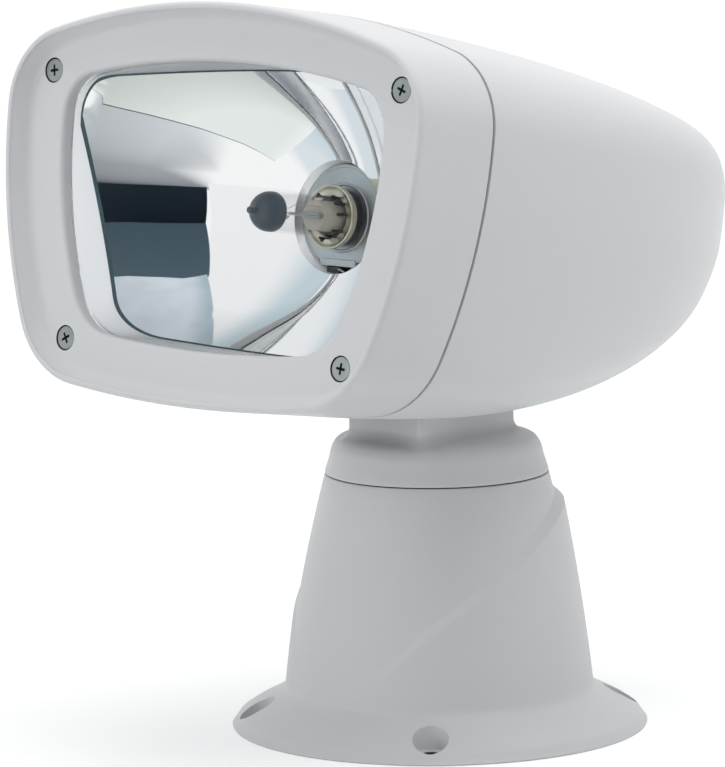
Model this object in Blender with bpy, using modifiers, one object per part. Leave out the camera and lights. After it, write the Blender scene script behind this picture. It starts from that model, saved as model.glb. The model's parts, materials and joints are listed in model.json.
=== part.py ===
"""Marine searchlight: a lamp head that tilts on a turret, which pans on a fixed flanged base.

Metres, +Z up. The lamp faces -Y. The origin is the middle of the flange's flat underside.
The rest pose is the photographed one: the lamp points RAKE above the horizon.
"""

import math

import bmesh
import bpy
from mathutils import Vector
from mathutils.geometry import convex_hull_2d

# Clearances, and how far a cutter reaches past what it cuts
GAP = 0.0003
RUNNING = 0.0003
TOOTH_GAP = 0.0003
OVERCUT = 0.002

# Flange and base housing. The shoulder is given as inset from the edge, and height
FLANGE_RADIUS = 0.0848
FLANGE_SHOULDER = (
    (0.0003, 0.0),
    (0.0, 0.0006),
    (0.0018, 0.0026),
    (0.0028, 0.0044),
    (0.0048, 0.0060),
    (0.0088, 0.0084),
    (0.0148, 0.0114),
    (0.0188, 0.0136),
    (0.0208, 0.0151),
    (0.0216, 0.0161),
)
FOOT_HEIGHT = 0.0185
SEAM_HEIGHT = 0.1037
SEAM_GAP = 0.0012
BASE_TURN = math.radians(-5.0)
BASE_STEPS = 48
CAVITY_STEPS = 32
ROUND_STEPS = 24
BASE_WALL = 0.003
DECK_THICKNESS = 0.0065

# The housing is two nested cones: the upper one, and a skirt that stands proud below a swept edge.
# The edge climbs from the front round to the back, given as shares of the wall from foot to seam
CONE_FOOT_RADIUS = 0.0626
CONE_FALL = 0.01117
CONE_BOW = 0.00597
SKIRT_FOOT_RADIUS = 0.0629
SKIRT_FALL = 0.00924
SKIRT_BOW = 0.00427
PROFILE_DATUM = 0.017
EDGE_ANGLES = (0.0, 20.0, 45.0, 90.0, 125.0, 180.0)
EDGE_SHARES = (0.0887, 0.1123, 0.3605, 0.6974, 0.8629, 0.9102)
EDGE_HALF_WIDTH = 0.0028
EDGE_FADE_START = 10.0
EDGE_FADE_END = 34.0

# Mounting holes in the flange, in a front and a rear pair. The angle is from the fore-and-aft line
MOUNT_CIRCLE_RADIUS = 0.075
MOUNT_HALF_ANGLE = math.radians(39.5)
MOUNT_HOLE_RADIUS = 0.00325
MOUNT_DISH_RADIUS = 0.0072
MOUNT_DISH_FLOOR = 0.0030

# Base plate under the housing
CAVITY_RADIUS = 0.057
CAVITY_HEIGHTS = (0.074, 0.044)
CAVITY_FOOT_HEIGHT = 0.023
PLATE_RADIUS = 0.066
PLATE_THICKNESS = 0.0027
PLATE_SCREW_CIRCLE = 0.0615
PLATE_SCREW_RADIUS = 0.0016
PLATE_SCREW_HEAD_RADIUS = 0.0030
PLATE_SCREW_LENGTH = 0.011
PLATE_SCREW_COUNT = 4
GROMMET_PLACE = (0.0, -0.024)
GROMMET_HOLE_RADIUS = 0.009
GROMMET_LIP_RADIUS = 0.012
GROMMET_LIP_HEIGHT = 0.0035
GROMMET_WIRE_RADIUS = 0.0015
GROMMET_WIRE_CIRCLE = 0.0045

# Pan bearing, shaft and gear train. The drops are counted down from the seam
SHAFT_RADIUS = 0.012
SHAFT_BORE_RADIUS = 0.009
SHAFT_DROP = 0.0517
BUSH_WALL = 0.0034
BUSH_LENGTH = 0.012
BUSH_LIP_RADIUS = 0.0185
BUSH_LIP_THICKNESS = 0.0016
TUBE_WALL = 0.004
TUBE_DROP = 0.0402
GEAR_MODULE = 0.0015
PAN_GEAR_TEETH = 40
PAN_PINION_TEETH = 10
PAN_GEAR_WINDOW_RADIUS = 0.0048
PAN_GEAR_WINDOW_CIRCLE = 0.0205
PAN_GEAR_THICKNESS = 0.005
PAN_MOTOR_ANGLE = math.radians(90.0)
RING_WALL = 0.0035
RING_THICKNESS = 0.0018
MOTOR_PLATE_THICKNESS = 0.002
MOTOR_PLATE_DROP = 0.0522
MOTOR_PLATE_LOBE_RADIUS = 0.006
SPINDLE_HOLE_CLEARANCE = 0.0015
RING_HOLE_CLEARANCE = 0.002
MOTOR_PLATE_POST_CIRCLE = 0.046
MOTOR_PLATE_POST_RADIUS = 0.004
MOTOR_PLATE_POST_DROP = 0.0257
MOTOR_PLATE_POST_ANGLES = (math.radians(38.0), math.radians(142.0))
MOTOR_SCREW_RADIUS = 0.0015
MOTOR_SCREW_HEAD_RADIUS = 0.0028
MOTOR_SCREW_HEAD_HEIGHT = 0.0020
MOTOR_SCREW_LENGTH = 0.010
PINION_SHAFT_RADIUS = 0.0022
PAN_GEARBOX_RADIUS = 0.0140
PAN_GEARBOX_LENGTH = 0.014
PAN_MOTOR_RADIUS = 0.0125
PAN_MOTOR_CLEARANCE = 0.0042
MOTOR_CHAMFER = 0.001
MOTOR_END_BOSS_RADIUS = 0.005
MOTOR_END_BOSS_HEIGHT = 0.002
PINION_SOCKET_DEPTH = 0.006
PINION_OVERHANG = 0.0004
PINION_SPINDLE_END = 0.0015

# Turret: a round cap with a rounded rectangular neck and two lugs for the tilt axle.
# The rises are counted from the seam, the crown from the cap's top, as radius share and height
CAP_TOP_RADIUS = 0.0356
CAP_TOP_RISE = 0.0158
CAP_SHOULDER_RADIUS = 0.0428
CAP_SHOULDER_RISE = 0.0105
CAP_CROWN = ((0.0, 0.0012), (0.6, 0.0009), (1.0, 0.0))
CAP_EDGE = ((0.0030, 0.0006), (0.0054, 0.0021))
CAP_ROOF = 0.0030
CAP_RING_SHARES = (0.22, 0.44, 0.62, 0.78, 0.90, 1.0)
NECK_BURIED = 0.006
NECK_SIDE_PIECES = 8
NECK_HALF_WIDTH = 0.0208
NECK_FRONT = 0.0311
NECK_REAR = 0.0258
NECK_CORNER = 0.0042
NECK_FILLET = 0.0045
NECK_DROP = 0.019
LUG_THICKNESS = 0.009
LUG_RADIUS = 0.014
PIVOT_RISE = 0.0485
SEAL_INSET = 0.0009
SEAL_WIDTH = 0.005

# Tilt axle, sector gear and motor
AXLE_RADIUS = 0.005
AXLE_LEFT = 0.0325
AXLE_RIGHT = 0.0280
SECTOR_TEETH = 40
SECTOR_FROM = math.radians(-14.0)
SECTOR_TO = math.radians(54.0)
SECTOR_THICKNESS = 0.004
SECTOR_HUB_RADIUS = 0.009
SECTOR_INNER = 0.0260
TILT_PINION_TEETH = 10
TILT_MOTOR_ANGLE = math.radians(20.0)
TILT_GEARBOX_RADIUS = 0.0125
TILT_GEARBOX_LENGTH = 0.015
TILT_MOTOR_RADIUS = 0.0118
TILT_MOTOR_LENGTH = 0.031
CLIP_THICKNESS = 0.0008
CLIP_RADIUS = 0.0078

# Head frame that carries the shells on the tilt axle. The drops are counted down from the axle
EAR_GAP = 0.0006
EAR_THICKNESS = 0.004
EAR_RADIUS = 0.014
EAR_BUSH_RADIUS = 0.007
EAR_MARGIN = 0.0015
FRAME_FLOOR_DROP = 0.024
FRAME_FLOOR_THICKNESS = 0.003
FRAME_HALF_WIDTH = 0.040
FRAME_FRONT = 0.058
FRAME_REAR = 0.050
SLOT_FRONT = 0.050
SLOT_REAR = 0.042
SLOT_SIDE_GAP = 0.0014
FRAME_SCREW_X = 0.033
FRAME_SCREW_FRONT = 0.050
FRAME_SCREW_REAR = 0.044
FRAME_SCREW_RADIUS = 0.0017
FRAME_SCREW_HEAD_RADIUS = 0.0036
FRAME_SCREW_HEAD_HEIGHT = 0.0024
FRAME_SCREW_END_DROP = 0.0278
FRAME_BOSS_RADIUS = 0.005

# Lamp head. Depth runs back from the bezel's face; up runs from the optical axis
RAKE = math.radians(8.304)
FACE_REACH = 0.1331
OPTIC_HEIGHT = 0.0354
RIM_TOP = 0.0784
RIM_TOP_ARC = 0.313
RIM_SIDE = 0.1118
RIM_SIDE_LEVEL = 0.0332
RIM_SIDE_ARC = 0.215
RIM_BOTTOM = -0.0777
RIM_BOTTOM_ARC = 0.565
RIM_UPPER_CORNER = 0.032
RIM_LOWER_CORNER = 0.038
BAND_TOP = 0.0227
BAND_SIDE = 0.0260
BAND_BOTTOM = 0.0219
WINDOW_TOP_ARC = 0.375
WINDOW_SIDE_LEVEL = 0.0292
WINDOW_SIDE_ARC = 0.170
WINDOW_BOTTOM_ARC = 0.560
WINDOW_UPPER_CORNER = 0.017
WINDOW_LOWER_CORNER = 0.024
OUTLINE_COUNTS = (3, 4, 4, 4, 3)

BEZEL_DEPTH = 0.0324
BEZEL_DRAFT = 0.0003
BEZEL_WALL = 0.0025
BEZEL_FACE = 0.003
RIM_PROUD = 0.0075
RIM_BAND = 0.0064
RIM_EDGE = ((0.0026, 0.0012), (0.0015, 0.0), (0.0004, 0.0007), (0.0, 0.0024))
WINDOW_EDGE = ((0.0, 0.0020), (0.0007, 0.0006), (0.0022, 0.0))
CREST_WALL = 0.0006
CREST_BACK_DEPTH = -0.0010
FACE_CORNER = 0.0024
LIP_DEPTH = 0.005
LIP_WALL = 0.0026
SEAM_WIDTH = 0.0012

SHELL_LENGTH = 0.2505
SHELL_WALL = 0.0025
SHELL_LEVEL = 0.0062
SHELL_RINGS = 12
SHELL_INNER_RINGS = 6
SHELL_END_SHARE = 0.998
NOSE_START_SHARE = 0.88
SHELL_WIDTH_POWERS = (1.60, 1.98)
SHELL_TOP_POWERS = (1.50, 4.70)
SHELL_BOTTOM_POWERS = (2.03, 1.38)

UPPER_SCREW_INSET = (0.0183, 0.0297)
LOWER_SCREW_INSET = (0.0372, 0.0214)
BEZEL_SCREW_RADIUS = 0.0020
BEZEL_SCREW_HEAD_RADIUS = 0.0046
BEZEL_SCREW_HEAD_DEPTH = 0.0024
BEZEL_SCREW_BITE = 0.0164
BEZEL_TUBE_RADIUS = 0.0050
SHELL_BOSS_LENGTH = 0.026
RIB_THICKNESS = 0.003
PHILLIPS_SPAN = 0.0054
PHILLIPS_WIDTH = 0.0010
PHILLIPS_DEPTH = 0.0014

# Lens, gaskets and reflector
LENS_GASKET_THICKNESS = 0.0006
LENS_THICKNESS = 0.0025
LENS_OVERLAP = 0.0030
REFLECTOR_FOCUS = 0.0318
REFLECTOR_VERTEX = 0.0743
REFLECTOR_WALL = 0.0015
REFLECTOR_MARGIN = 0.0004
REFLECTOR_EDGE = 0.0006
REFLECTOR_FLANGE = 0.0046
REFLECTOR_HOLE_RADIUS = 0.0226
REFLECTOR_COLLAR_END = 0.0785
REFLECTOR_RINGS = 6
CLAMP_WIDTH = 0.008
CLAMP_BITE = 0.0018
CLAMP_STANDOFF = 0.0028
CLAMP_POST = 0.0050
CLAMP_THICKNESS = 0.0016
CLAMP_PLACES = ((0.048, 1), (-0.048, 1), (0.040, -1), (-0.040, -1))

# H4 bulb with its cap, filament, flange, connector and spring clip
BULB_RADIUS = 0.0083
BULB_GLASS_WALL = 0.0009
BULB_GLASS_FRONT = 0.0252
BULB_GLASS_REAR = 0.0655
BULB_CAP_FRONT = 0.0222
BULB_CAP_REAR = 0.0385
BULB_CAP_WALL = 0.0006
BULB_NIPPLE = 0.0019
BULB_COLLAR_RADIUS = 0.0115
BULB_COLLAR_FRONT = 0.0635
BULB_FLANGE_RADIUS = 0.0215
BULB_FLANGE_FRONT = 0.0744
BULB_FLANGE_THICKNESS = 0.0012
BULB_TAB_WIDTH = 0.007
BULB_TAB_REACH = 0.0245
BULB_STEM_RADIUS = 0.0060
BULB_POST_RADIUS = 0.0005
BULB_POST_OFFSET = 0.0035
BULB_COIL_RADIUS = 0.0009
BULB_SHIELD_RADIUS = 0.0042
BULB_BASE_RADIUS = 0.0150
BULB_BASE_LENGTH = 0.011
BLADE_WIDTH = 0.0078
BLADE_THICKNESS = 0.0009
BLADE_LENGTH = 0.0095
CONNECTOR_SIZE = 0.031
CONNECTOR_LENGTH = 0.019
CONNECTOR_CORNER = 0.004
CLIP_WIRE_RADIUS = 0.0006

# Colours read off the photograph, as linear values
WHITE_GELCOAT = (0.78, 0.79, 0.79, 1.0)
GREY_WHITE = (0.66, 0.67, 0.67, 1.0)
BLACK_RUBBER = (0.02, 0.02, 0.02, 1.0)
STAINLESS = (0.55, 0.55, 0.54, 1.0)
BRIGHT_MIRROR = (0.90, 0.91, 0.91, 1.0)
CLEAR_GLASS = (0.93, 0.96, 0.96, 1.0)
DARK_PAINT = (0.05, 0.06, 0.07, 1.0)
BRASS = (0.60, 0.45, 0.20, 1.0)
TUNGSTEN = (0.32, 0.31, 0.30, 1.0)
ACETAL = (0.75, 0.74, 0.68, 1.0)
GLASS_NYLON = (0.04, 0.04, 0.045, 1.0)
CERAMIC = (0.80, 0.78, 0.72, 1.0)
ZINC = (0.42, 0.43, 0.45, 1.0)


def clear_scene():
    for old in list(bpy.data.objects):
        bpy.data.objects.remove(old, do_unlink=True)


def make_collections():
    parts = bpy.data.collections.new("marine_searchlight")
    cutters = bpy.data.collections.new("cutters")
    for collection in (parts, cutters):
        bpy.context.scene.collection.children.link(collection)
    return parts, cutters


clear_scene()
PARTS, CUTTERS = make_collections()


def make_material(name, colour, roughness, metallic=0.0, transmission=0.0):
    material = bpy.data.materials.new(name)
    material.use_nodes = True
    shader = material.node_tree.nodes["Principled BSDF"]
    shader.inputs["Base Color"].default_value = colour
    shader.inputs["Roughness"].default_value = roughness
    shader.inputs["Metallic"].default_value = metallic
    shader.inputs["Transmission Weight"].default_value = transmission
    material.diffuse_color = colour
    return material


def empty(name, location, parent=None, tilt=0.0):
    node = bpy.data.objects.new(name, None)
    node.location = location
    node.rotation_euler.x = tilt
    node.parent = parent
    PARTS.objects.link(node)
    return node


def finish(name, bm, material=None, parent=None, smooth=None):
    """Turn a bmesh into a named object, as a part when it has a material, else as a cutter."""
    bmesh.ops.recalc_face_normals(bm, faces=bm.faces)
    if bm.calc_volume(signed=True) < 0.0:
        bmesh.ops.reverse_faces(bm, faces=bm.faces)
    mesh = bpy.data.meshes.new(name)
    bm.to_mesh(mesh)
    bm.free()
    node = bpy.data.objects.new(name, mesh)
    node.parent = parent
    if material is None:
        CUTTERS.objects.link(node)
        node.hide_render = True
        node.display_type = "WIRE"
        return node
    mesh.materials.append(material)
    PARTS.objects.link(node)
    if smooth is not None:
        mesh.shade_smooth()
        mesh.set_sharp_from_angle(angle=math.radians(smooth))
    return node


def loft(name, rings, material=None, parent=None, closed=False, smooth=30.0):
    """Skin rings of equal point count. A closed loft joins its last ring to its first."""
    bm = bmesh.new()
    rows = [[bm.verts.new(point) for point in ring] for ring in rings]
    pairs = list(zip(rows, rows[1:]))
    if closed:
        pairs.append((rows[-1], rows[0]))
    for near, far in pairs:
        for index in range(len(near)):
            after = (index + 1) % len(near)
            bm.faces.new((near[index], near[after], far[after], far[index]))
    if not closed:
        bm.faces.new(rows[0])
        bm.faces.new(rows[-1])
    return finish(name, bm, material, parent, smooth)


def revolve(name, profile, material=None, parent=None, steps=48, smooth=30.0):
    """Screw a profile about Z. It starts at the top and runs down the outer side.

    A profile that starts and ends on the axis is a solid; any other is closed into a ring.
    """
    mesh = bpy.data.meshes.new(name)
    points = [(radius, 0.0, height) for radius, height in profile]
    edges = [(index, index + 1) for index in range(len(points) - 1)]
    on_axis = profile[0][0] == 0.0 and profile[-1][0] == 0.0
    if not on_axis:
        edges.append((len(points) - 1, 0))
    mesh.from_pydata(points, edges, [])
    node = bpy.data.objects.new(name, mesh)
    screw = node.modifiers.new("turn", "SCREW")
    screw.axis = "Z"
    screw.angle = 2.0 * math.pi
    screw.steps = steps
    screw.render_steps = steps
    screw.use_merge_vertices = True
    screw.merge_threshold = 0.00001
    CUTTERS.objects.link(node)
    turned = bpy.data.meshes.new_from_object(node.evaluated_get(bpy.context.evaluated_depsgraph_get()))
    bpy.data.objects.remove(node, do_unlink=True)
    bm = bmesh.new()
    bm.from_mesh(turned)
    bmesh.ops.remove_doubles(bm, verts=bm.verts, dist=0.00001)
    return finish(name, bm, material, parent, smooth)


def turned(name, stations, material=None, parent=None, steps=24, smooth=30.0):
    """A solid of revolution about Z with flat ends, from radius and height stations."""
    rings = [[(x, y, height) for x, y in circle(radius, steps)] for radius, height in stations]
    return loft(name, rings, material, parent, smooth=smooth)


def prism(name, outline, low, high, axis="Z", material=None, parent=None, smooth=30.0):
    """Extrude a flat outline along an axis. Along X the outline is in Y, Z; along Y in X, Z."""
    place = {
        "Z": lambda a, b, c: (a, b, c),
        "X": lambda a, b, c: (c, a, b),
        "Y": lambda a, b, c: (a, c, b),
    }[axis]
    rings = [[place(a, b, level) for a, b in outline] for level in (low, high)]
    return loft(name, rings, material, parent, smooth=smooth)


def circle(radius, steps=32, centre=(0.0, 0.0), start=0.0):
    turns = [start + 2.0 * math.pi * index / steps for index in range(steps)]
    return [(centre[0] + radius * math.cos(turn), centre[1] + radius * math.sin(turn)) for turn in turns]


def rounded_rectangle(left, right, low, high, corner, steps=4):
    """Outline of a rectangle whose corners are arcs, anticlockwise from the lower right."""
    centres = (
        (right - corner, low + corner, -90.0),
        (right - corner, high - corner, 0.0),
        (left + corner, high - corner, 90.0),
        (left + corner, low + corner, 180.0),
    )
    points = []
    for x, y, start in centres:
        for index in range(steps + 1):
            turn = math.radians(start + 90.0 * index / steps)
            points.append((x + corner * math.cos(turn), y + corner * math.sin(turn)))
    return points


def box(name, low, high, material=None, parent=None):
    outline = [(low[0], low[1]), (high[0], low[1]), (high[0], high[1]), (low[0], high[1])]
    return prism(name, outline, low[2], high[2], "Z", material, parent, smooth=None)


def boolean(target, tool, operation="DIFFERENCE"):
    modifier = target.modifiers.new(tool.name, "BOOLEAN")
    modifier.operation = operation
    modifier.solver = "EXACT"
    modifier.object = tool


def polar(radius, angle):
    return (radius * math.cos(angle), radius * math.sin(angle))


def gear_outline(teeth, module, phase=0.0, first=0, last=None):
    """Straight-flanked teeth on a pitch circle. One tooth is centred on the phase angle."""
    pitch_radius = teeth * module / 2.0
    root, tip = pitch_radius - 1.2 * module, pitch_radius + 0.85 * module
    pitch = 2.0 * math.pi / teeth
    flank = ((-0.32, root), (-0.10, tip), (0.10, tip), (0.32, root))
    points = []
    for index in range(first, teeth if last is None else last):
        for share, radius in flank:
            points.append(polar(radius, phase + (index + share) * pitch))
    return points


def smooth_step(value):
    value = min(1.0, max(0.0, value))
    return value * value * (3.0 - 2.0 * value)


def through_points(places, values, place):
    """Read a smooth curve through a few points, with the slopes of a Catmull-Rom spline."""
    last = len(places) - 1
    slopes = []
    for index in range(len(places)):
        before, after = max(0, index - 1), min(last, index + 1)
        slopes.append((values[after] - values[before]) / (places[after] - places[before]))
    slopes[0] = 0.0
    slopes[last] = 0.0
    span = max(index for index in range(last) if places[index] <= place)
    width = places[span + 1] - places[span]
    share = (place - places[span]) / width
    start, end = values[span], values[span + 1]
    lift, land = slopes[span] * width, slopes[span + 1] * width
    square, cube = share * share, share * share * share
    return (
        start * (2.0 * cube - 3.0 * square + 1.0)
        + lift * (cube - 2.0 * square + share)
        + end * (3.0 * square - 2.0 * cube)
        + land * (cube - square)
    )


# Materials, one for each finish
HOUSING_WHITE = make_material("gelcoat_white", WHITE_GELCOAT, 0.35)
HOUSING_GREY = make_material("cast_white", GREY_WHITE, 0.40)
RUBBER = make_material("black_rubber", BLACK_RUBBER, 0.75)
STEEL = make_material("stainless_steel", STAINLESS, 0.28, 1.0)
MIRROR = make_material("reflector_mirror", BRIGHT_MIRROR, 0.04, 1.0)
GLASS = make_material("clear_glass", CLEAR_GLASS, 0.02, 0.0, 1.0)
BULB_PAINT = make_material("bulb_cap_paint", DARK_PAINT, 0.35)
CONTACT_BRASS = make_material("brass", BRASS, 0.30, 1.0)
FILAMENT_METAL = make_material("tungsten", TUNGSTEN, 0.35, 1.0)
BUSH_PLASTIC = make_material("acetal", ACETAL, 0.45)
BLACK_NYLON = make_material("black_nylon", GLASS_NYLON, 0.55)
BULB_CERAMIC = make_material("ceramic", CERAMIC, 0.60)
ZINC_PLATE = make_material("zinc_plate", ZINC, 0.38, 1.0)
GEAR_PLASTIC = make_material("gear_acetal", ACETAL, 0.45)

# Heights and radii that follow from the sizes above
SEAM_LOW = SEAM_HEIGHT - SEAM_GAP / 2.0
SEAM_HIGH = SEAM_HEIGHT + SEAM_GAP / 2.0
EDGE_HEIGHTS = [FOOT_HEIGHT + (SEAM_LOW - FOOT_HEIGHT) * share for share in EDGE_SHARES]
TUBE_BOTTOM = SEAM_HEIGHT - TUBE_DROP
BEZEL_SCREW_LENGTH = BEZEL_DEPTH + SEAM_WIDTH + BEZEL_SCREW_BITE
SHAFT_BOTTOM = SEAM_HEIGHT - SHAFT_DROP
MOTOR_PLATE_TOP = SEAM_HEIGHT - MOTOR_PLATE_DROP
MOTOR_PLATE_POST_TOP = SEAM_HEIGHT - MOTOR_PLATE_POST_DROP
CAP_TOP_HEIGHT = SEAM_HEIGHT + CAP_TOP_RISE
SHAFT_TOP = CAP_TOP_HEIGHT - CAP_ROOF
PIVOT_HEIGHT = CAP_TOP_HEIGHT + PIVOT_RISE
NECK_TOP = PIVOT_HEIGHT - NECK_DROP
BUSH_BORE_RADIUS = SHAFT_RADIUS + RUNNING
BUSH_OUTER_RADIUS = BUSH_BORE_RADIUS + BUSH_WALL
TUBE_BORE_RADIUS = BUSH_OUTER_RADIUS + GAP
PAN_GEAR_TOP = TUBE_BOTTOM - GAP - BUSH_LIP_THICKNESS - RUNNING
PAN_GEAR_BOTTOM = PAN_GEAR_TOP - PAN_GEAR_THICKNESS

# Axes of motion
PAN_AXIS = empty("pan_axis", (0.0, 0.0, 0.0))
AXLE_SEAT = empty("axle_seat", (0.0, 0.0, PIVOT_HEIGHT), PAN_AXIS)
TILT_AXIS = empty("tilt_axis", (0.0, 0.0, PIVOT_HEIGHT), PAN_AXIS)
HEAD_RAKE = empty("head_rake", (0.0, 0.0, 0.0), TILT_AXIS, tilt=-RAKE)


def cone_radius(height):
    share = (height - PROFILE_DATUM) / (SEAM_HEIGHT - PROFILE_DATUM)
    return CONE_FOOT_RADIUS - CONE_FALL * share - CONE_BOW * share * share


def skirt_radius(height):
    share = (height - PROFILE_DATUM) / (SEAM_HEIGHT - PROFILE_DATUM)
    return SKIRT_FOOT_RADIUS - SKIRT_FALL * share - SKIRT_BOW * share * share


def base_directions():
    """Compass of the housing's rings: degrees from the front, and the matching unit vector."""
    for index in range(BASE_STEPS):
        degrees = 360.0 * index / BASE_STEPS
        turn = math.radians(degrees) + BASE_TURN
        off_front = degrees if degrees <= 180.0 else 360.0 - degrees
        yield off_front, (math.sin(turn), -math.cos(turn))


def base_ring(radius, height):
    return [(radius * x, radius * y, height) for _, (x, y) in base_directions()]


def swept_ring(level):
    """A ring of the housing's side. Level -1 to 0 is the skirt, 0 to 1 the edge, 1 to 2 the cone."""
    ring = []
    for off_front, (x, y) in base_directions():
        edge = through_points(EDGE_ANGLES, EDGE_HEIGHTS, off_front)
        low, high = edge - EDGE_HALF_WIDTH, edge + EDGE_HALF_WIDTH
        if level <= 0.0:
            height = low + (low - FOOT_HEIGHT) * level
        elif level >= 1.0:
            height = high + (SEAM_LOW - high) * (level - 1.0)
        else:
            height = low + (high - low) * level
        fade = smooth_step((off_front - EDGE_FADE_START) / (EDGE_FADE_END - EDGE_FADE_START))
        proud = skirt_radius(height) - cone_radius(height)
        step = 1.0 - smooth_step(level)
        if level <= 0.0:
            blend = fade + (1.0 - fade) * smooth_step(-level)
        else:
            blend = fade * step
        radius = cone_radius(height) + proud * blend
        ring.append((radius * x, radius * y, height))
    return ring


def build_base_housing():
    rings = [base_ring(FLANGE_RADIUS - inset, height) for inset, height in FLANGE_SHOULDER]
    rings += [swept_ring(level) for level in (-1.0, -0.5, 0.0, 0.33, 0.67, 1.0, 1.5, 2.0)]
    housing = loft("base_housing", rings, HOUSING_GREY, smooth=25.0)
    deck_under = SEAM_LOW - DECK_THICKNESS
    tube_radius = TUBE_BORE_RADIUS + TUBE_WALL
    recess_radius = PLATE_RADIUS + GAP
    recess_height = PLATE_THICKNESS + GAP
    seat_height = SEAM_LOW - BUSH_LIP_THICKNESS - GAP
    cavity = revolve("housing_cavity", [
        (0.0, SEAM_LOW + OVERCUT),
        (BUSH_LIP_RADIUS + GAP, SEAM_LOW + OVERCUT),
        (BUSH_LIP_RADIUS + GAP, seat_height),
        (TUBE_BORE_RADIUS, seat_height),
        (TUBE_BORE_RADIUS, TUBE_BOTTOM),
        (tube_radius, TUBE_BOTTOM),
        (tube_radius, deck_under),
        *[(cone_radius(height) - BASE_WALL, height) for height in (deck_under, *CAVITY_HEIGHTS)],
        (CAVITY_RADIUS, CAVITY_FOOT_HEIGHT),
        (CAVITY_RADIUS, recess_height),
        (recess_radius, recess_height),
        (recess_radius, -OVERCUT),
        (0.0, -OVERCUT),
    ], steps=CAVITY_STEPS)
    boolean(housing, cavity)
    for index, angle in enumerate(mount_angles()):
        centre = polar(MOUNT_CIRCLE_RADIUS, angle)
        dish = prism(f"mount_dish_{index + 1}", circle(MOUNT_DISH_RADIUS, 20, centre), MOUNT_DISH_FLOOR,
                     FOOT_HEIGHT)
        hole = prism(f"mount_hole_{index + 1}", circle(MOUNT_HOLE_RADIUS, 16, centre), -OVERCUT,
                     MOUNT_DISH_FLOOR + OVERCUT)
        boolean(housing, dish)
        boolean(housing, hole)
    for index in range(PLATE_SCREW_COUNT):
        screw_centre = polar(PLATE_SCREW_CIRCLE, plate_screw_angle(index))
        pilot = prism(f"plate_pilot_{index + 1}", circle(PLATE_SCREW_RADIUS + GAP, 12, screw_centre),
                      -OVERCUT, PLATE_SCREW_LENGTH + GAP)
        boolean(housing, pilot)
    for index, angle in enumerate(MOTOR_PLATE_POST_ANGLES):
        centre = polar(MOTOR_PLATE_POST_CIRCLE, angle)
        post = prism(f"motor_post_{index + 1}", circle(MOTOR_PLATE_POST_RADIUS, 16, centre),
                     MOTOR_PLATE_TOP + GAP, MOTOR_PLATE_POST_TOP)
        rib_in = polar(MOTOR_PLATE_POST_CIRCLE, angle)
        rib_out = polar(cone_radius(MOTOR_PLATE_POST_TOP) - BASE_WALL / 2.0, angle)
        rib = bar(f"motor_post_rib_{index + 1}", rib_in, rib_out, RIB_THICKNESS,
                  MOTOR_PLATE_TOP + GAP, MOTOR_PLATE_POST_TOP)
        pilot = prism(f"motor_post_pilot_{index + 1}", circle(MOTOR_SCREW_RADIUS + GAP, 12, centre),
                      MOTOR_PLATE_TOP - 0.002, MOTOR_PLATE_TOP + MOTOR_SCREW_LENGTH)
        boolean(housing, post, "UNION")
        boolean(housing, rib, "UNION")
        boolean(housing, pilot)
    return housing


def bar(name, start, end, width, low, high):
    """An upright rectangular bar between two points in plan."""
    along = Vector((end[0] - start[0], end[1] - start[1])).normalized()
    side = Vector((-along.y, along.x)) * (width / 2.0)
    outline = [
        (start[0] - side.x, start[1] - side.y),
        (end[0] - side.x, end[1] - side.y),
        (end[0] + side.x, end[1] + side.y),
        (start[0] + side.x, start[1] + side.y),
    ]
    return prism(name, outline, low, high)


def mount_angles():
    front, rear = math.radians(-90.0), math.radians(90.0)
    return [front + MOUNT_HALF_ANGLE, rear - MOUNT_HALF_ANGLE, rear + MOUNT_HALF_ANGLE, front - MOUNT_HALF_ANGLE]


def plate_screw_angle(index):
    return BASE_TURN + index * 2.0 * math.pi / PLATE_SCREW_COUNT


def countersunk_screw(name, radius, head_radius, head_depth, length, material, parent=None, steps=12):
    """Screw along +Z with its flat head at the bottom, as seen from under the base."""
    profile = [
        (0.0, length),
        (radius * 0.55, length),
        (radius, length - radius),
        (radius, head_depth),
        (head_radius, 0.0),
        (0.0, 0.0),
    ]
    return revolve(name, profile, material, parent, steps)


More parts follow.
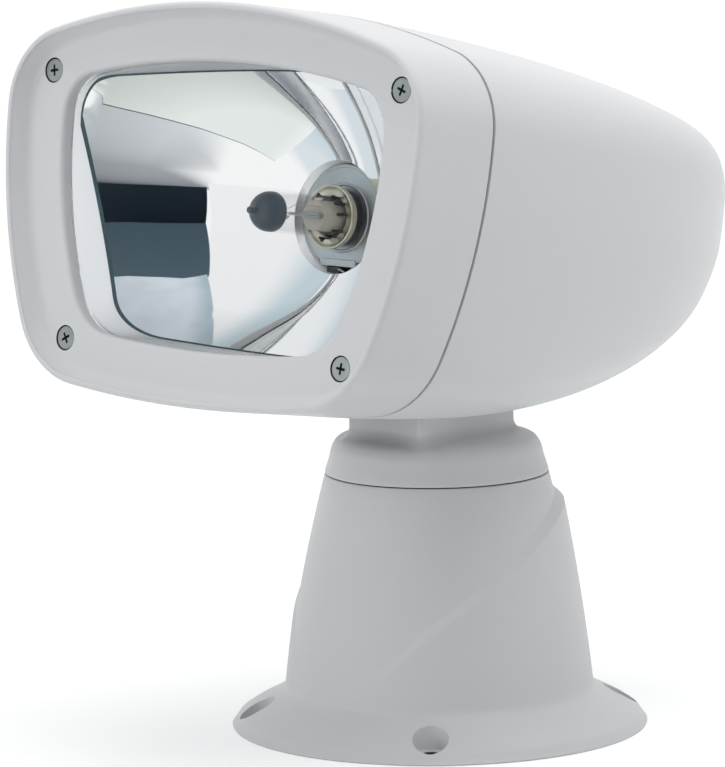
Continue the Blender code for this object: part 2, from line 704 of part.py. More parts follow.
def build_base_plate():
    plate = prism("base_plate", circle(PLATE_RADIUS, CAVITY_STEPS), 0.0, PLATE_THICKNESS, material=ZINC_PLATE)
    boolean(plate, prism("grommet_hole", circle(GROMMET_HOLE_RADIUS, 24, GROMMET_PLACE), -OVERCUT,
                         PLATE_THICKNESS + OVERCUT))
    for index in range(PLATE_SCREW_COUNT):
        x, y = polar(PLATE_SCREW_CIRCLE, plate_screw_angle(index))
        head = PLATE_SCREW_HEAD_RADIUS
        sink = countersunk_screw(f"plate_sink_{index + 1}", PLATE_SCREW_RADIUS + GAP, head + GAP,
                                 head - PLATE_SCREW_RADIUS, PLATE_THICKNESS + OVERCUT, None)
        sink.location = (x, y, 0.0)
        boolean(plate, sink)
        screw = countersunk_screw(f"base_plate_screw_{index + 1}", PLATE_SCREW_RADIUS, head,
                                  head - PLATE_SCREW_RADIUS, PLATE_SCREW_LENGTH, STEEL)
        screw.location = (x, y, GAP)
        slot = box(f"plate_slot_{index + 1}", (-head * 0.7, -0.0004, -0.001), (head * 0.7, 0.0004, 0.0008))
        slot.location = (x, y, GAP)
        boolean(screw, slot)

    seat = PLATE_THICKNESS + GAP
    grommet = turned("wire_grommet", [
        (GROMMET_LIP_RADIUS - 0.001, seat + GROMMET_LIP_HEIGHT),
        (GROMMET_LIP_RADIUS, seat + GROMMET_LIP_HEIGHT - 0.001),
        (GROMMET_LIP_RADIUS, seat),
        (GROMMET_HOLE_RADIUS - GAP, seat),
        (GROMMET_HOLE_RADIUS - GAP, GAP + 0.0005),
        (GROMMET_HOLE_RADIUS - GAP - 0.0005, GAP),
    ], RUBBER, steps=24)
    grommet.location = (*GROMMET_PLACE, 0.0)
    for index in range(4):
        wire = prism(f"wire_hole_{index + 1}", circle(GROMMET_WIRE_RADIUS, 8), -OVERCUT,
                     seat + GROMMET_LIP_HEIGHT + OVERCUT)
        x, y = polar(GROMMET_WIRE_CIRCLE, index * math.pi / 2.0)
        wire.location = (GROMMET_PLACE[0] + x, GROMMET_PLACE[1] + y, 0.0)
        boolean(grommet, wire)


def build_pan_bearing():
    lip_low = SEAM_LOW - BUSH_LIP_THICKNESS
    top = SEAM_HIGH - RUNNING
    revolve("pan_bush_upper", [
        (BUSH_LIP_RADIUS, top),
        (BUSH_LIP_RADIUS, lip_low),
        (BUSH_OUTER_RADIUS, lip_low),
        (BUSH_OUTER_RADIUS, lip_low - BUSH_LENGTH),
        (BUSH_BORE_RADIUS, lip_low - BUSH_LENGTH),
        (BUSH_BORE_RADIUS, top),
    ], BUSH_PLASTIC, steps=ROUND_STEPS)
    lip_high = TUBE_BOTTOM - GAP
    revolve("pan_bush_lower", [
        (BUSH_OUTER_RADIUS, lip_high + BUSH_LENGTH),
        (BUSH_OUTER_RADIUS, lip_high),
        (BUSH_LIP_RADIUS, lip_high),
        (BUSH_LIP_RADIUS, lip_high - BUSH_LIP_THICKNESS),
        (BUSH_BORE_RADIUS, lip_high - BUSH_LIP_THICKNESS),
        (BUSH_BORE_RADIUS, lip_high + BUSH_LENGTH),
    ], BUSH_PLASTIC, steps=ROUND_STEPS)


def build_pan_shaft_group():
    revolve("pan_shaft", [
        (SHAFT_RADIUS, SHAFT_TOP),
        (SHAFT_RADIUS, SHAFT_BOTTOM),
        (SHAFT_BORE_RADIUS, SHAFT_BOTTOM),
        (SHAFT_BORE_RADIUS, SHAFT_TOP),
    ], STEEL, PAN_AXIS, steps=ROUND_STEPS)

    outline = gear_outline(PAN_GEAR_TEETH, GEAR_MODULE, PAN_MOTOR_ANGLE)
    gear = prism("pan_gear", outline, PAN_GEAR_BOTTOM, PAN_GEAR_BOTTOM + PAN_GEAR_THICKNESS,
                 material=GEAR_PLASTIC, parent=PAN_AXIS)
    boolean(gear, prism("pan_gear_bore", circle(SHAFT_RADIUS + GAP, ROUND_STEPS),
                        PAN_GEAR_BOTTOM - OVERCUT, PAN_GEAR_TOP + OVERCUT))
    for index in range(5):
        centre = polar(PAN_GEAR_WINDOW_CIRCLE, index * 2.0 * math.pi / 5.0)
        boolean(gear, prism(f"pan_gear_window_{index + 1}", circle(PAN_GEAR_WINDOW_RADIUS, 12, centre),
                            PAN_GEAR_BOTTOM - OVERCUT, PAN_GEAR_TOP + OVERCUT))

    ring_top = PAN_GEAR_BOTTOM - GAP
    revolve("pan_retaining_ring", [
        (SHAFT_RADIUS + GAP + RING_WALL, ring_top),
        (SHAFT_RADIUS + GAP + RING_WALL, ring_top - RING_THICKNESS),
        (SHAFT_RADIUS + GAP, ring_top - RING_THICKNESS),
        (SHAFT_RADIUS + GAP, ring_top),
    ], STEEL, PAN_AXIS, steps=ROUND_STEPS)

    seal_radius = cone_radius(SEAM_HEIGHT) - SEAL_INSET
    revolve("pan_seal", [
        (seal_radius, SEAM_HIGH - GAP),
        (seal_radius, SEAM_LOW + GAP),
        (seal_radius - SEAL_WIDTH, SEAM_LOW + GAP),
        (seal_radius - SEAL_WIDTH, SEAM_HIGH - GAP),
    ], RUBBER, PAN_AXIS, steps=40)


def pan_motor_centre():
    distance = (PAN_GEAR_TEETH + PAN_PINION_TEETH) * GEAR_MODULE / 2.0 + TOOTH_GAP
    return polar(distance, PAN_MOTOR_ANGLE)


def build_pan_drive():
    x, y = pan_motor_centre()
    plate_low = MOTOR_PLATE_TOP - MOTOR_PLATE_THICKNESS
    posts = [polar(MOTOR_PLATE_POST_CIRCLE, angle) for angle in MOTOR_PLATE_POST_ANGLES]
    rim = []
    for post in posts:
        rim += circle(MOTOR_PLATE_LOBE_RADIUS, 20, post)
    rim += circle(PAN_GEARBOX_RADIUS, 20, (x, y))
    hull = [rim[index] for index in convex_hull_2d(rim)]
    plate = prism("pan_motor_plate", hull, plate_low, MOTOR_PLATE_TOP, material=ZINC_PLATE)
    cut_low, cut_high = plate_low - OVERCUT, MOTOR_PLATE_TOP + OVERCUT
    spindle_hole = circle(PINION_SHAFT_RADIUS + SPINDLE_HOLE_CLEARANCE, 16, (x, y))
    boolean(plate, prism("plate_spindle_hole", spindle_hole, cut_low, cut_high))
    ring_hole = circle(SHAFT_RADIUS + RING_WALL + RING_HOLE_CLEARANCE, ROUND_STEPS)
    boolean(plate, prism("plate_ring_hole", ring_hole, cut_low, cut_high))
    for index, post in enumerate(posts):
        boolean(plate, prism(f"plate_screw_hole_{index + 1}", circle(MOTOR_SCREW_RADIUS + GAP, 12, post),
                             cut_low, cut_high))
        screw = revolve(f"motor_plate_screw_{index + 1}", [
            (0.0, MOTOR_SCREW_LENGTH),
            (MOTOR_SCREW_RADIUS, MOTOR_SCREW_LENGTH),
            (MOTOR_SCREW_RADIUS, 0.0),
            (MOTOR_SCREW_HEAD_RADIUS, 0.0),
            (MOTOR_SCREW_HEAD_RADIUS, 0.0005 - MOTOR_SCREW_HEAD_HEIGHT),
            (MOTOR_SCREW_HEAD_RADIUS - 0.0005, -MOTOR_SCREW_HEAD_HEIGHT),
            (0.0, -MOTOR_SCREW_HEAD_HEIGHT),
        ], STEEL, steps=12)
        screw.location = (post[0], post[1], plate_low - GAP)

    gearbox_top = plate_low - GAP
    gearbox_low = gearbox_top - PAN_GEARBOX_LENGTH
    gearbox = prism("pan_gearbox", circle(PAN_GEARBOX_RADIUS, 24, (x, y)), gearbox_low, gearbox_top,
                    material=ZINC_PLATE)
    boolean(gearbox, prism("pan_gearbox_bore", circle(PINION_SHAFT_RADIUS + RUNNING, 16, (x, y)),
                           gearbox_top - PINION_SOCKET_DEPTH - RUNNING, gearbox_top + 0.01))
    motor_top = gearbox_low - GAP
    length = motor_top - PLATE_THICKNESS - PAN_MOTOR_CLEARANCE
    motor = revolve("pan_motor", [
        (0.0, 0.0),
        (PAN_MOTOR_RADIUS - MOTOR_CHAMFER, 0.0),
        (PAN_MOTOR_RADIUS, -MOTOR_CHAMFER),
        (PAN_MOTOR_RADIUS, MOTOR_CHAMFER - length),
        (PAN_MOTOR_RADIUS - MOTOR_CHAMFER, -length),
        (MOTOR_END_BOSS_RADIUS, -length),
        (MOTOR_END_BOSS_RADIUS, -length - MOTOR_END_BOSS_HEIGHT),
        (0.0, -length - MOTOR_END_BOSS_HEIGHT),
    ], STEEL, steps=24)
    motor.location = (x, y, motor_top)

    phase = PAN_MOTOR_ANGLE + math.pi + math.pi / PAN_PINION_TEETH
    outline = gear_outline(PAN_PINION_TEETH, GEAR_MODULE, phase)
    pinion = prism("pan_pinion", outline, PAN_GEAR_BOTTOM - PINION_OVERHANG, PAN_GEAR_TOP + PINION_OVERHANG,
                   material=CONTACT_BRASS)
    pinion.location = (x, y, 0.0)
    spindle = prism("pan_pinion_spindle", circle(PINION_SHAFT_RADIUS, 16),
                    gearbox_top - PINION_SOCKET_DEPTH, PAN_GEAR_TOP + PINION_SPINDLE_END)
    spindle.location = (x, y, 0.0)
    boolean(pinion, spindle, "UNION")


def neck_outline(spread):
    """Rounded rectangle round the neck, with extra points along its straight sides."""
    corners = rounded_rectangle(-NECK_HALF_WIDTH - spread, NECK_HALF_WIDTH + spread,
                                -NECK_FRONT - spread, NECK_REAR + spread, NECK_CORNER + spread)
    outline = []
    for (x_a, y_a), (x_b, y_b) in zip(corners, corners[1:] + corners[:1]):
        pieces = NECK_SIDE_PIECES if math.hypot(x_b - x_a, y_b - y_a) > NECK_HALF_WIDTH else 1
        for index in range(pieces):
            share = index / pieces
            outline.append((x_a + (x_b - x_a) * share, y_a + (y_b - y_a) * share))
    return outline


def cap_height(radius):
    """Height of the cap's skin at a distance from the pan axis, before the neck is added."""
    profile = [(CAP_TOP_RADIUS * share, CAP_TOP_HEIGHT + rise) for share, rise in CAP_CROWN]
    profile += [(CAP_TOP_RADIUS + out, CAP_TOP_HEIGHT - drop) for out, drop in CAP_EDGE]
    profile += [(CAP_SHOULDER_RADIUS, SEAM_HEIGHT + CAP_SHOULDER_RISE)]
    profile += [(cone_radius(SEAM_HEIGHT), SEAM_HIGH + GAP)]
    for (r_a, z_a), (r_b, z_b) in zip(profile, profile[1:]):
        if radius <= r_b:
            return z_a + (z_b - z_a) * (radius - r_a) / (r_b - r_a)
    return profile[-1][1]


def build_turret_cap():
    foot_radius = cone_radius(SEAM_HEIGHT)
    rings = [[(x, y, NECK_TOP) for x, y in neck_outline(0.0)]]
    for index in range(5):
        turn = math.pi / 2.0 * index / 4.0
        outline = neck_outline(NECK_FILLET * (1.0 - math.cos(turn)))
        rise = NECK_FILLET * (1.0 - math.sin(turn))
        rings.append([(x, y, cap_height(math.hypot(x, y)) + rise) for x, y in outline])
    for share in CAP_RING_SHARES:
        ring = []
        for x, y in neck_outline(NECK_FILLET):
            reach = math.hypot(x, y)
            radius = reach + (foot_radius - reach) * share
            ring.append((x * radius / reach, y * radius / reach, cap_height(radius)))
        rings.append(ring)
    lip = (foot_radius - GAP) / foot_radius
    rings.append([(x * lip, y * lip, SEAM_HIGH) for x, y, _ in rings[-1]])
    cap = loft("turret_cap", rings, HOUSING_GREY, PAN_AXIS, smooth=40.0)

    lug_low = NECK_TOP - NECK_BURIED - PIVOT_HEIGHT
    for side, name in ((-1.0, "left"), (1.0, "right")):
        outline = [(-LUG_RADIUS, lug_low), (LUG_RADIUS, lug_low)]
        for index in range(13):
            outline.append(polar(LUG_RADIUS, math.pi * index / 12.0))
        near, far = side * (NECK_HALF_WIDTH - LUG_THICKNESS), side * NECK_HALF_WIDTH
        lug = prism(f"neck_lug_{name}", outline, min(near, far), max(near, far), "X")
        lug.location.z = PIVOT_HEIGHT
        boolean(cap, lug, "UNION")
    axle_bore = prism("neck_axle_bore", circle(AXLE_RADIUS + GAP, 20), -NECK_HALF_WIDTH - OVERCUT,
                      NECK_HALF_WIDTH + OVERCUT, "X")
    axle_bore.location.z = PIVOT_HEIGHT
    boolean(cap, axle_bore)
    shaft_socket = prism("cap_shaft_socket", circle(SHAFT_RADIUS + GAP, ROUND_STEPS),
                         SEAM_LOW - OVERCUT, SHAFT_TOP + GAP)
    wire_way = prism("neck_wire_way", circle(SHAFT_BORE_RADIUS, 24), SEAM_LOW - OVERCUT, NECK_TOP + OVERCUT)
    boolean(cap, shaft_socket)
    boolean(cap, wire_way)


def build_tilt_axle_group():
    prism("tilt_axle", circle(AXLE_RADIUS, 20), -AXLE_LEFT, AXLE_RIGHT, "X", STEEL, AXLE_SEAT)
    pitch = 2.0 * math.pi / SECTOR_TEETH
    first = math.ceil((SECTOR_FROM - TILT_MOTOR_ANGLE) / pitch)
    last = math.floor((SECTOR_TO - TILT_MOTOR_ANGLE) / pitch)
    outline = gear_outline(SECTOR_TEETH, GEAR_MODULE, TILT_MOTOR_ANGLE, first, last)
    for index in range(11):
        outline.append(polar(SECTOR_HUB_RADIUS, math.radians(110.0 + 22.0 * index)))
    sector = prism("tilt_sector_gear", outline, -SECTOR_INNER - SECTOR_THICKNESS, -SECTOR_INNER, "X",
                   GEAR_PLASTIC, AXLE_SEAT)
    boolean(sector, on_tilt_axis(prism("sector_bore", circle(AXLE_RADIUS + GAP, 20),
                                       -SECTOR_INNER - SECTOR_THICKNESS - OVERCUT,
                                       -SECTOR_INNER + OVERCUT, "X")))

    left_clip = -SECTOR_INNER - SECTOR_THICKNESS - GAP - CLIP_THICKNESS
    right_clip = NECK_HALF_WIDTH + EAR_GAP + EAR_THICKNESS + GAP
    for name, low in (("tilt_axle_clip_left", left_clip), ("tilt_axle_clip_right", right_clip)):
        clip = prism(name, circle(CLIP_RADIUS, 20), low, low + CLIP_THICKNESS, "X", STEEL, AXLE_SEAT)
        bore = prism(f"{name}_bore", circle(AXLE_RADIUS + GAP, 20), low - OVERCUT,
                     low + CLIP_THICKNESS + OVERCUT, "X")
        boolean(clip, on_tilt_axis(bore))


def on_tilt_axis(node):
    node.parent = TILT_AXIS
    return node


def tilt_motor_centre():
    distance = (SECTOR_TEETH + TILT_PINION_TEETH) * GEAR_MODULE / 2.0 + TOOTH_GAP
    return polar(distance, TILT_MOTOR_ANGLE)


def build_head_frame():
    inner = NECK_HALF_WIDTH + EAR_GAP
    floor_low = -FRAME_FLOOR_DROP
    floor_high = floor_low + FRAME_FLOOR_THICKNESS
    outline = rounded_rectangle(-FRAME_HALF_WIDTH, FRAME_HALF_WIDTH, -FRAME_FRONT, FRAME_REAR, 0.006)
    frame = prism("head_frame", outline, floor_low, floor_high, material=ZINC_PLATE, parent=TILT_AXIS)
    slot = rounded_rectangle(-inner, inner, -SLOT_FRONT, SLOT_REAR, 0.003)
    boolean(frame, on_tilt_axis(prism("frame_slot", slot, floor_low - OVERCUT, floor_high + OVERCUT)))
    motor_y, motor_z = tilt_motor_centre()
    pivot_rim = circle(EAR_RADIUS, 24)
    motor_rim = circle(TILT_GEARBOX_RADIUS + EAR_MARGIN, 24, (motor_y, motor_z))
    plain_foot = [(-EAR_RADIUS, floor_low + 0.001), (EAR_RADIUS, floor_low + 0.001)]
    motor_foot = [(-EAR_RADIUS, floor_low + 0.001), (motor_y, floor_low + 0.001)]
    ears = (
        ("left", -inner - EAR_THICKNESS, -inner, pivot_rim + motor_rim + motor_foot),
        ("right", inner, inner + EAR_THICKNESS, pivot_rim + plain_foot),
    )
    for name, low, high, points in ears:
        hull = [points[index] for index in convex_hull_2d(points)]
        boolean(frame, on_tilt_axis(prism(f"frame_ear_{name}", hull, low, high, "X")), "UNION")
        bore = prism(f"ear_bush_bore_{name}", circle(EAR_BUSH_RADIUS + GAP, 20), low - 0.001, high + 0.001, "X")
        boolean(frame, on_tilt_axis(bore))
        bush = prism(f"tilt_bush_{name}", circle(EAR_BUSH_RADIUS, 20), low, high, "X", BUSH_PLASTIC, TILT_AXIS)
        bush_bore = prism(f"tilt_bush_bore_{name}", circle(AXLE_RADIUS + RUNNING, 20),
                          low - 0.001, high + 0.001, "X")
        boolean(bush, on_tilt_axis(bush_bore))
    spindle_hole = prism("ear_spindle_hole", circle(PINION_SHAFT_RADIUS + SPINDLE_HOLE_CLEARANCE, 16, (motor_y, motor_z)),
                         -inner - EAR_THICKNESS - 0.001, -inner + 0.001, "X")
    boolean(frame, on_tilt_axis(spindle_hole))
    for index, (x, y) in enumerate(frame_screw_places()):
        hole = prism(f"frame_screw_hole_{index + 1}", circle(FRAME_SCREW_RADIUS + GAP, 12, (x, y)),
                     floor_low - 0.001, floor_high + 0.001)
        boolean(frame, on_tilt_axis(hole))
        end = -FRAME_SCREW_END_DROP
        seat = floor_high + GAP
        screw = revolve(f"frame_screw_{index + 1}", [
            (0.0, seat + FRAME_SCREW_HEAD_HEIGHT),
            (FRAME_SCREW_HEAD_RADIUS - 0.0008, seat + FRAME_SCREW_HEAD_HEIGHT),
            (FRAME_SCREW_HEAD_RADIUS, seat + FRAME_SCREW_HEAD_HEIGHT - 0.0008),
            (FRAME_SCREW_HEAD_RADIUS, seat),
            (FRAME_SCREW_RADIUS, seat),
            (FRAME_SCREW_RADIUS, end),
            (0.0, end),
        ], STEEL, TILT_AXIS, steps=12)
        screw.location = (x, y, 0.0)
    return frame


def frame_screw_places():
    return [
        (side * FRAME_SCREW_X, y)
        for y in (-FRAME_SCREW_FRONT, FRAME_SCREW_REAR)
        for side in (-1.0, 1.0)
    ]


def build_tilt_drive():
    motor_y, motor_z = tilt_motor_centre()
    centre = (motor_y, motor_z)
    gearbox_low = -NECK_HALF_WIDTH - EAR_GAP + GAP
    gearbox_high = gearbox_low + TILT_GEARBOX_LENGTH
    gearbox = prism("tilt_gearbox", circle(TILT_GEARBOX_RADIUS, 24, centre), gearbox_low, gearbox_high, "X",
                    ZINC_PLATE, TILT_AXIS)
    socket = prism("tilt_gearbox_bore", circle(PINION_SHAFT_RADIUS + RUNNING, 16, centre),
                   gearbox_low - 0.001, gearbox_low + PINION_SOCKET_DEPTH + RUNNING, "X")
    boolean(gearbox, on_tilt_axis(socket))

    motor_low = gearbox_high + GAP
    rings = []
    for radius, level in (
        (TILT_MOTOR_RADIUS, 0.0),
        (TILT_MOTOR_RADIUS, TILT_MOTOR_LENGTH - MOTOR_CHAMFER),
        (TILT_MOTOR_RADIUS - MOTOR_CHAMFER, TILT_MOTOR_LENGTH),
        (MOTOR_END_BOSS_RADIUS, TILT_MOTOR_LENGTH),
        (MOTOR_END_BOSS_RADIUS, TILT_MOTOR_LENGTH + MOTOR_END_BOSS_HEIGHT),
    ):
        rings.append([(motor_low + level, y, z) for y, z in circle(radius, 24, centre)])
    loft("tilt_motor", rings, STEEL, TILT_AXIS)

    phase = TILT_MOTOR_ANGLE + math.pi + math.pi / TILT_PINION_TEETH
    teeth = gear_outline(TILT_PINION_TEETH, GEAR_MODULE, phase)
    low, high = -SECTOR_INNER - SECTOR_THICKNESS - PINION_OVERHANG, -SECTOR_INNER + PINION_OVERHANG
    pinion = prism("tilt_pinion", teeth, low, high, "X", CONTACT_BRASS, TILT_AXIS)
    pinion.location = (0.0, motor_y, motor_z)
    spindle = prism("tilt_pinion_spindle", circle(PINION_SHAFT_RADIUS, 16, centre), low - 0.001,
                    gearbox_low + PINION_SOCKET_DEPTH, "X")
    boolean(pinion, on_tilt_axis(spindle), "UNION")


def fillet_centre(arc_a, arc_b, radius, toward):
    """Centre of the circle that lies inside two arcs and touches both, nearest a given corner."""
    (ax, ay, ar), (bx, by, br) = arc_a, arc_b
    span = math.hypot(bx - ax, by - ay)
    near, far = ar - radius, br - radius
    along = (near * near - far * far + span * span) / (2.0 * span)
    across = math.sqrt(near * near - along * along)
    ux, uy = (bx - ax) / span, (by - ay) / span
    options = (
        (ax + ux * along - uy * across, ay + uy * along + ux * across),
        (ax + ux * along + uy * across, ay + uy * along - ux * across),
    )
    return min(options, key=lambda point: math.hypot(point[0] - toward[0], point[1] - toward[1]))


def arc_outline(top, top_arc, side, side_level, side_arc, bottom, bottom_arc, upper, lower, inset=0.0):
    """Bulged rounded trapezoid from ten arcs, mirrored about the middle. An inset keeps every centre."""
    top_circle = (0.0, top - top_arc, top_arc)
    side_circle = (side - side_arc, side_level, side_arc)
    bottom_circle = (0.0, bottom + bottom_arc, bottom_arc)
    high = fillet_centre(top_circle, side_circle, upper, (side, top))
    low = fillet_centre(side_circle, bottom_circle, lower, (side, bottom))

    def heading(circle_, point):
        return math.atan2(point[1] - circle_[1], point[0] - circle_[0])

    turns = (
        math.pi / 2.0,
        heading(top_circle, high),
        heading(side_circle, high),
        heading(side_circle, low),
        heading(bottom_circle, low),
        -math.pi / 2.0,
    )
    arcs = (top_circle, (*high, upper), side_circle, (*low, lower), bottom_circle)
    half = []
    for (x, y, radius), start, end, count in zip(arcs, turns, turns[1:], OUTLINE_COUNTS):
        for index in range(count):
            turn = start + (end - start) * index / count
            half.append((x + (radius - inset) * math.cos(turn), y + (radius - inset) * math.sin(turn)))
    half.append((0.0, bottom + inset))
    return half + [(-x, y) for x, y in half[-2:0:-1]]


def rim(inset=0.0):
    return arc_outline(RIM_TOP, RIM_TOP_ARC, RIM_SIDE, RIM_SIDE_LEVEL, RIM_SIDE_ARC, RIM_BOTTOM,
                       RIM_BOTTOM_ARC, RIM_UPPER_CORNER, RIM_LOWER_CORNER, inset)


def window(spread=0.0):
    return arc_outline(RIM_TOP - BAND_TOP, WINDOW_TOP_ARC, RIM_SIDE - BAND_SIDE, WINDOW_SIDE_LEVEL,
                       WINDOW_SIDE_ARC, RIM_BOTTOM + BAND_BOTTOM, WINDOW_BOTTOM_ARC,
                       WINDOW_UPPER_CORNER, WINDOW_LOWER_CORNER, -spread)


def at_depth(outline, depth):
    """Place an outline in the head: depth behind the bezel's face, heights from the optical axis."""
    return [(x, depth - FACE_REACH, up + OPTIC_HEIGHT) for x, up in outline]


def head_prism(name, outline, near, far, material=None, smooth=30.0):
    return loft(name, [at_depth(outline, near), at_depth(outline, far)], material, HEAD_RAKE, smooth=smooth)


def screw_places():
    places = []
    upper = (RIM_SIDE - UPPER_SCREW_INSET[0], RIM_TOP - UPPER_SCREW_INSET[1])
    lower = (RIM_SIDE - LOWER_SCREW_INSET[0], RIM_BOTTOM + LOWER_SCREW_INSET[1])
    for x, up in (upper, lower):
        places += [(x, up), (-x, up)]
    return places


def build_front_bezel():
    wall_inset = BEZEL_WALL - BEZEL_DRAFT
    rings = [
        at_depth(window(0.0), LIP_DEPTH),
        *[at_depth(window(spread), depth) for spread, depth in WINDOW_EDGE],
        at_depth(rim(RIM_BAND), 0.0),
        *[at_depth(rim(inset), drop - RIM_PROUD) for inset, drop in RIM_EDGE],
        at_depth(rim(-BEZEL_DRAFT), BEZEL_DEPTH),
        at_depth(rim(wall_inset), BEZEL_DEPTH),
        at_depth(rim(wall_inset + CREST_WALL), CREST_BACK_DEPTH),
        at_depth(rim(RIM_BAND + FACE_CORNER), BEZEL_FACE),
        at_depth(window(LIP_WALL), BEZEL_FACE),
        at_depth(window(LIP_WALL), LIP_DEPTH),
    ]
    bezel = loft("front_bezel", rings, HOUSING_WHITE, HEAD_RAKE, closed=True, smooth=35.0)
    for index, (x, up) in enumerate(screw_places()):
        tube = head_prism(f"bezel_tube_{index + 1}", circle(BEZEL_TUBE_RADIUS, 14, (x, up)),
                          BEZEL_FACE - 0.001, BEZEL_DEPTH)
        boolean(bezel, tube, "UNION")
        reach = rim_half_width(up) - BEZEL_WALL / 2.0
        edge = math.copysign(reach, x)
        outline = rib_outline(x, edge, up)
        rib = head_prism(f"bezel_rib_{index + 1}", outline, BEZEL_FACE - 0.001, BEZEL_DEPTH - 0.004)
        boolean(bezel, rib, "UNION")
        hole = head_prism(f"bezel_screw_hole_{index + 1}", circle(BEZEL_SCREW_RADIUS + GAP, 12, (x, up)),
                          -0.002, BEZEL_DEPTH + 0.002)
        boolean(bezel, hole)
        sink = head_screw(f"bezel_sink_{index + 1}", (x, up), GAP, None)
        boolean(bezel, sink)


def rim_half_width(up):
    """Half width of the rim outline at a height, read from its own points."""
    right = [point for point in rim() if point[0] > 0.0]
    for (x_a, up_a), (x_b, up_b) in zip(right, right[1:]):
        if up_b <= up <= up_a:
            return x_a + (x_b - x_a) * (up - up_a) / (up_b - up_a)
    return 0.0


def rib_outline(x, edge, up):
    half = RIB_THICKNESS / 2.0
    low, high = min(x, edge), max(x, edge)
    return [(low, up - half), (high, up - half), (high, up + half), (low, up + half)]


def head_screw(name, place, clearance, material):
    """Countersunk screw along the lamp's depth, with its head flush in the bezel's face."""
    x, up = place
    head = BEZEL_SCREW_HEAD_RADIUS + clearance
    shank = BEZEL_SCREW_RADIUS + clearance
    start = GAP
    stations = [
        (head, start if clearance == 0.0 else -0.002),
        (head, start + 0.0004),
        (shank, start + BEZEL_SCREW_HEAD_DEPTH),
        (shank, BEZEL_SCREW_LENGTH - 0.001),
        (shank * 0.6, BEZEL_SCREW_LENGTH + clearance),
    ]
    rings = [at_depth(circle(radius, 14, (x, up)), depth) for radius, depth in stations]
    return loft(name, rings, material, HEAD_RAKE)


def build_bezel_screws():
    for index, (x, up) in enumerate(screw_places()):
        screw = head_screw(f"bezel_screw_{index + 1}", (x, up), 0.0, STEEL)
        for turn, (half_x, half_up) in enumerate((
            (PHILLIPS_SPAN / 2.0, PHILLIPS_WIDTH / 2.0),
            (PHILLIPS_WIDTH / 2.0, PHILLIPS_SPAN / 2.0),
        )):
            outline = [(x - half_x, up - half_up), (x + half_x, up - half_up),
                       (x + half_x, up + half_up), (x - half_x, up + half_up)]
            slot = head_prism(f"phillips_{index + 1}_{turn + 1}", outline, -0.001, PHILLIPS_DEPTH, smooth=None)
            boolean(screw, slot)


def taper(share, powers):
    return (1.0 - share ** powers[0]) ** (1.0 / powers[1])


def nose_share(share):
    return max(0.0, (share - NOSE_START_SHARE) / (1.0 - NOSE_START_SHARE))


def shell_ring(share, wall):
    """One section of the rear shell: the rim's outline narrowed by three separate tapers."""
    outline = rim(wall - BEZEL_DRAFT)
    width = taper(share, SHELL_WIDTH_POWERS)
    nose = nose_share(share)
    upper = taper(share, SHELL_TOP_POWERS) * math.sqrt(1.0 - nose * nose)
    lower = taper(share, SHELL_BOTTOM_POWERS)
    rounding = smooth_step(nose)
    level = SHELL_LEVEL * (1.0 - share)
    depth = BEZEL_DEPTH + SEAM_WIDTH + (SHELL_LENGTH - wall) * share
    section = []
    for x, up in outline:
        rise = up - SHELL_LEVEL
        half_width = RIM_SIDE - wall
        half_height = (RIM_TOP - SHELL_LEVEL if rise > 0.0 else SHELL_LEVEL - RIM_BOTTOM) - wall
        reach = math.hypot(x / half_width, rise / half_height)
        scale = 1.0 + rounding * (1.0 / reach - 1.0)
        section.append((x * scale * width, level + rise * scale * (upper if rise > 0.0 else lower)))
    return at_depth(section, depth)


def shell_shares(count):
    return [SHELL_END_SHARE * (1.0 - (1.0 - index / count) ** 1.8) for index in range(count + 1)]


def build_rear_shell():
    outer = [shell_ring(share, 0.0) for share in reversed(shell_shares(SHELL_RINGS))]
    inner = [shell_ring(share, SHELL_WALL) for share in shell_shares(SHELL_INNER_RINGS)]
    shell = loft("rear_shell", outer + inner, HOUSING_WHITE, HEAD_RAKE, smooth=35.0)

    front = BEZEL_DEPTH + SEAM_WIDTH
    bosses = []
    for index, (x, up) in enumerate(screw_places()):
        bosses.append(head_prism(f"shell_boss_{index + 1}", circle(BEZEL_TUBE_RADIUS, 14, (x, up)),
                                 front, front + SHELL_BOSS_LENGTH))
        edge = math.copysign(rim_half_width(up) + 0.01, x)
        bosses.append(head_prism(f"shell_rib_{index + 1}", rib_outline(x, edge, up),
                                 front + 0.004, front + SHELL_BOSS_LENGTH))
    boss_top = -FRAME_FLOOR_DROP - GAP
    for index, place in enumerate(frame_screw_places()):
        bosses.append(on_tilt_axis(prism(f"shell_floor_boss_{index + 1}", circle(FRAME_BOSS_RADIUS, 12, place),
                                         -0.06, boss_top)))
    for boss in bosses:
        middle = [shell_ring(share, SHELL_WALL * 0.5) for share in shell_shares(SHELL_INNER_RINGS)]
        core = loft(f"core_for_{boss.name}", middle, parent=HEAD_RAKE)
        boolean(boss, core, "INTERSECT")
        boolean(shell, boss, "UNION")
    for index, place in enumerate(screw_places()):
        pilot = head_prism(f"shell_pilot_{index + 1}", circle(BEZEL_SCREW_RADIUS + GAP, 12, place),
                           front - 0.002, BEZEL_SCREW_LENGTH + 0.001)
        boolean(shell, pilot)
    for index, place in enumerate(frame_screw_places()):
        pilot = prism(f"shell_floor_pilot_{index + 1}", circle(FRAME_SCREW_RADIUS + GAP, 12, place),
                      -FRAME_SCREW_END_DROP - GAP, 0.0)
        boolean(shell, on_tilt_axis(pilot))
    half = NECK_HALF_WIDTH + SLOT_SIDE_GAP
    slot = rounded_rectangle(-half, half, -SLOT_FRONT, SLOT_REAR, 0.004)
    boolean(shell, on_tilt_axis(prism("shell_slot", slot, -0.06, -FRAME_FLOOR_DROP)))


